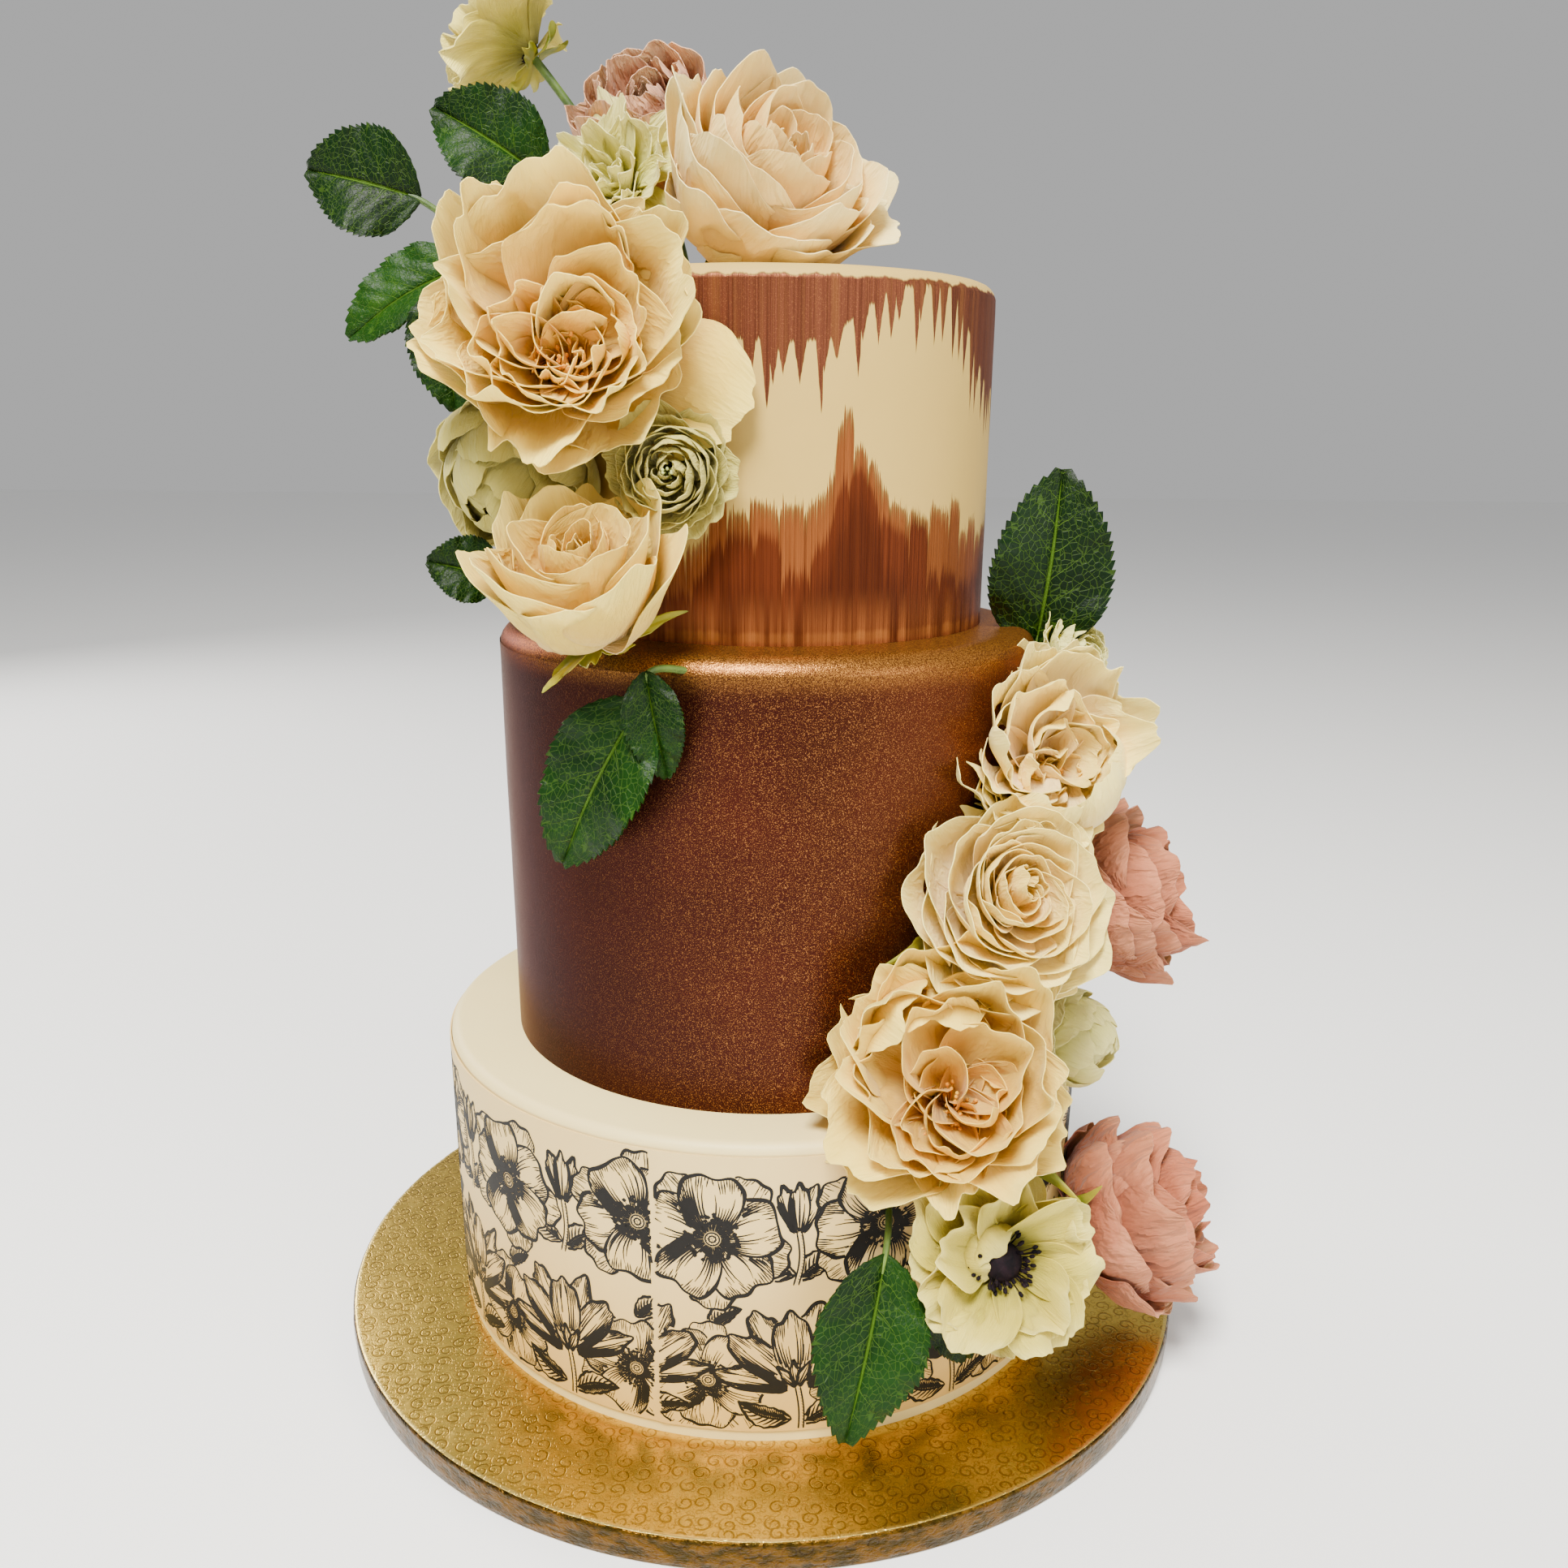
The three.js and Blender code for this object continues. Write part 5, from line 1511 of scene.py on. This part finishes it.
def pen_petal(pen, at, heading, near, far, width, notch=0.1, rays=15, deep=0.5, flank=0, fine=1.0):
    """An outlined, hatched petal that points along a heading (degrees), from near to far along it."""
    rng = pen.rng
    c, s = math.cos(math.radians(heading)), math.sin(math.radians(heading))
    wobble = rng.uniform(*ANY_PHASE, 3)

    def edge(a):
        """Points of the outline, a from -1 at one side of the foot to 1 at the other."""
        out = np.cos(np.pi / 2 * a) ** 0.55 * (1 - notch * np.exp(-(a / 0.16) ** 2))
        out = out * (1 + 0.03 * np.sin(7 * a + wobble[0]) + 0.025 * np.sin(15 * a + wobble[1]))
        across = width / 2 * np.sin(np.pi / 2 * a) * (0.25 + 0.75 * np.clip(out, 0, 1) ** 0.5)
        return np.stack([near + (far - near) * out, across], axis=-1)

    def laid(p):
        return np.stack([at[0] + p[..., 0] * c - p[..., 1] * s, at[1] + p[..., 0] * s + p[..., 1] * c], -1)

    def ray(a, start, stop, steps, bow=0.06):
        """A line inside the petal from its foot towards the outline at a."""
        t = np.linspace(start, stop, steps)[:, None]
        foot = np.array([near, 0.2 * width * a])
        line = foot + t * (edge(np.full(1, a)) - foot)
        line[:, 1] += bow * width * np.sin(np.pi * t[:, 0]) * np.sign(a)
        return laid(line)

    rim = laid(edge(np.linspace(-0.98, 0.98, 40)))
    pen.stroke(rim, OUTLINE * fine, 0.15, 0.15, swell=0.35)
    for a in np.linspace(-0.88, 0.88, rays):
        reach = deep * rng.uniform(0.5, 1.3) * (1 - 0.3 * abs(a))
        pen.stroke(ray(a, 0.02, min(reach, 0.9), 5), HATCH * fine, 0.1, 0.85)
    for a in np.linspace(-0.85, 0.85, 2 * rays - 4):
        if rng.uniform() < 0.85:
            pen.stroke(ray(a, 0.985, 1 - 0.34 * deep * rng.uniform(0.3, 1.2), 3), 0.8 * HATCH * fine, 0.1, 0.8)
    for a in rng.uniform(-0.7, 0.7, 2):
        pen.stroke(ray(a, 0.1, 0.86, 7, bow=0.1), 0.6 * HATCH * fine, 0.4, 0.4)
    if flank:
        for a in np.linspace(0.3, 0.96, 12):
            pen.stroke(ray(flank * a, 0.2, 0.88, 6, bow=0.04), HATCH * fine, 0.3, 0.4)
        for t in np.linspace(0.3, 0.8, 8):
            a = np.linspace(0.46, 0.97, 5)
            foot = np.stack([np.full(5, near), 0.2 * width * a], axis=1)
            line = foot + t * (edge(a) - foot)
            pen.stroke(laid(line * [1, flank]), 0.7 * HATCH * fine, 0.5, 0.3)
    pen.cover(rim)


# %% A wild rose from the front
def pen_rose(pen, at, radius, turn, fine=1.0):
    centre = np.array(at)
    angles = np.linspace(0, 2 * np.pi, 26)
    circle = np.stack([np.cos(angles), np.sin(angles)], axis=1)
    for size in (0.05, 0.1):
        pen.stroke(centre + size * radius * circle, 0.6 * fine, 0.02, 0.02)
    for k in range(SEEDS):
        way = np.array([math.cos(2.4 * k), math.sin(2.4 * k)])
        pen.dot(centre + 0.085 * radius * math.sqrt(k / SEEDS) * way, 0.4)
    for k in range(STAMENS):
        angle = 2 * np.pi * (k + pen.rng.uniform(-0.4, 0.4)) / STAMENS
        way = np.array([math.cos(angle), math.sin(angle)])
        reach = radius * pen.rng.uniform(0.16, 0.38)
        pen.stroke([centre + way * r for r in np.linspace(0.12 * radius, reach, 3)], 0.4, 0.2, 0.2)
        pen.dot(centre + way * (reach + 0.3), 1.7 * fine)
    pen.cover(centre + 0.17 * radius * circle)
    for k in (0, 2, 4, 1, 3):
        heading = turn + 72 * k + pen.rng.uniform(-5, 5)
        far = radius * pen.rng.uniform(0.92, 1.05)
        pen_petal(pen, at, heading, 0.12 * radius, far, 1.2 * radius, rays=21, deep=0.72,
                  flank=int(pen.rng.choice([-1, 1])), fine=fine)
    for k in range(5):  # the row behind shows between them, in shadow
        pen_petal(pen, at, turn + 36 + 72 * k, 0.4 * radius, 1.12 * radius, 0.86 * radius, notch=0.0, rays=15,
                  deep=1.0, flank=(-1) ** k, fine=0.8 * fine)


# %% A bellflower from the side, a leaf and a bud
def pen_leaf(pen, foot, heading, length, width):
    """A pointed leaf; the lower half is hatched closely and the upper one lightly."""
    c, s = math.cos(math.radians(heading)), math.sin(math.radians(heading))
    t = np.linspace(0, 1, 22)
    bend = 0.12 * length * np.sin(np.pi * t)

    def put(x, y):
        return np.stack([foot[0] + x * c - y * s, foot[1] + x * s + y * c], axis=1)

    half = width / 2 * np.sin(np.pi * t ** 0.85) * (1 + 0.06 * np.sin(38 * t))
    sides = [put(t * length, bend + sign * half) for sign in (-1, 1)]
    for side in sides:
        pen.stroke(side, 0.8 * OUTLINE, 0.1, 0.1, swell=0.3)
    pen.stroke(put(t * length, bend), 0.7 * OUTLINE, 0.05, 0.5)
    for sign, count, reach in ((-1, 22, 0.95), (1, 9, 0.8)):
        for share in np.linspace(0.06, 0.88, count):
            k = np.linspace(0, 1, 4)
            lead = np.minimum(1, share + 0.16 * k)
            out = np.interp(lead, t, half) * k * reach
            pen.stroke(put(lead * length, np.interp(lead, t, bend) + sign * out), HATCH, 0.1, 0.6)
    pen.cover(np.concatenate([sides[0], sides[1][::-1]]))


def pen_stem(pen, foot, head, sway):
    """A double line with small hatches on its shaded side."""
    t = np.linspace(0, 1, 18)
    line = np.outer(1 - t, foot) + np.outer(t, head)
    line[:, 0] += sway * np.sin(np.pi * t)
    for offset in (-0.9, 0.9):
        pen.stroke(line + [offset, 0], 0.6, 0.05, 0.05)
    for k in range(1, 17):
        pen.stroke([line[k] + [0.1, 0.2], line[k] + [0.9, -0.3]], 0.4)
        pen.stroke([line[k] + [0.3, 1.2], line[k] + [0.9, 0.9]], 0.35)
    pen.cover(np.concatenate([line + [-0.9, 0], (line + [0.9, 0])[::-1]]))
    return line


def pen_bellflower(pen, head, size, lean):
    """Flaring petals seen from the side, with their calyx, on the point where the stem ends."""
    for k, heading in enumerate((60, 92, 124)):
        pen_petal(pen, head, heading + lean, 0.0, 0.3 * size, 0.17 * size, notch=-0.3, rays=7, deep=1.0, fine=0.9)
    parts = ((90, 1.0, 0.64, 0), (50, 1.04, 0.56, -1), (130, 1.04, 0.56, 1), (20, 0.98, 0.44, -1),
             (160, 0.98, 0.44, 1), (70, 1.16, 0.5, -1), (110, 1.16, 0.5, 1))
    for heading, far, wide, flank in parts:
        pen_petal(pen, head, heading + lean + pen.rng.uniform(-3, 3), 0.1 * size, far * size, wide * size,
                  notch=-0.08, rays=16, deep=0.85, flank=flank)


def pen_bud(pen, foot, head, size):
    """A closed bud on a short stem."""
    for heading in (90, 72, 108):
        pen_petal(pen, head, heading, 0, size, 0.55 * size, notch=-0.15, rays=9, deep=0.8, flank=1)
    for heading in (55, 125):
        pen_petal(pen, head, heading, 0, 0.6 * size, 0.2 * size, notch=-0.3, rays=5, deep=1.0, fine=0.8)
    pen_stem(pen, foot, head, 1.5)


# %% Lay out the drawing and roll it on to the tier
PERIOD = 61.0  # doesn't divide the sheet's length, so the last flower is cut by the seam
columns = [(column, column * PERIOD + 5) for column in range(-1, int(SHEET_LENGTH / PERIOD) + 2)]
roses, bells, greens, distant = Pen(7), Pen(8), Pen(9), Pen(10)
for column, start in columns:
    pen_rose(roses, (start + 16, 96 + 3 * (column % 2)), 25, 90 + 19 * column)
for column, start in columns:
    pen_bellflower(bells, (start + 46, 36), 29, 7 * (-1) ** column)
    pen_stem(greens, (start + 47, 14), (start + 46, 36), 1.0)
    pen_bud(bells, (start + 45, 78), (start + 46, 99), 17)
    pen_leaf(greens, (start + 46, 80), 32, 19, 9)
    pen_leaf(greens, (start + 45, 82), 150, 19, 9)
for column, start in columns:
    pen_leaf(greens, (start + 48, 20), 20, 21, 9)
    pen_leaf(greens, (start + 44, 22), 158, 21, 9)
    pen_rose(distant, (start + 14, 38), 22, 54 + 31 * column, fine=0.7)
    pen_leaf(greens, (start + 14, 60), 35, 15, 7)
print("ink strokes:", [len(pen.points) for pen in (roses, bells, greens, distant)])


def ink_material():
    material, tree = new_material("food_ink")
    where = tree.where()
    tree.surface(Base_Color=tree.mix(tree.noise(where, 700), "050404", "0e0b09"), Roughness=0.6,
                 Specular_IOR_Level=0.25)
    return material


food_ink = ink_material()
pens = {"print_roses": roses, "print_bells": bells, "print_leaves": greens, "print_distant": distant}
for name, pen in pens.items():
    finish(pen.mesh(name + "_lines"), name, "print_sheet", food_ink)

# %% [markdown]
# ## Floor and light
# The cake stands on a plain pale floor under soft light: a large panel to the left of the camera and above it, a
# weaker one to the right, one behind for the foil to mirror, and a white sky that fills the shadows. The floor and
# the lights aren't part of the cake.

# %% Stage
FLOOR_GAP = 0.0005  # metres between the floor and the drum
SKY = 0.48

bpy.ops.object.select_all(action="DESELECT")
bpy.ops.mesh.primitive_plane_add(size=12, location=(0, 2, -FLOOR_GAP))
floor = bpy.context.object
floor.name = "floor"
floor_material, floor_tree = new_material("pale_floor")
floor_tree.surface(Base_Color=srgb("f8f8f7"), Roughness=0.7)
floor.data.materials.append(floor_material)


def panel(name, position, aim, size, watts, colour):
    """A square area light at a position, aimed at a point."""
    light = bpy.data.objects.new(name, bpy.data.lights.new(name, "AREA"))
    bpy.context.scene.collection.objects.link(light)
    light.data.shape, light.data.size = "SQUARE", size
    light.data.energy, light.data.color = watts, colour
    light.location = position
    light.rotation_euler = (Vector(aim) - Vector(position)).to_track_quat("-Z", "Y").to_euler()


panel("key", (-0.25, -1.0, 1.75), aim=(0, 0, 0.25), size=0.6, watts=110, colour=(1, 0.97, 0.91))
panel("fill", (1.2, -1.1, 0.8), aim=(0, 0, 0.25), size=1.0, watts=18, colour=(1, 0.96, 0.88))
panel("back", (-1.3, 1.1, 0.9), aim=(-0.1, 0, 0.1), size=0.9, watts=22, colour=(1, 0.97, 0.93))
world = bpy.context.scene.world = bpy.data.worlds.new("soft sky")
world.use_nodes = True
sky = world.node_tree.nodes["Background"].inputs
sky["Color"].default_value, sky["Strength"].default_value = (1, 1, 1, 1), SKY

# %% [markdown]
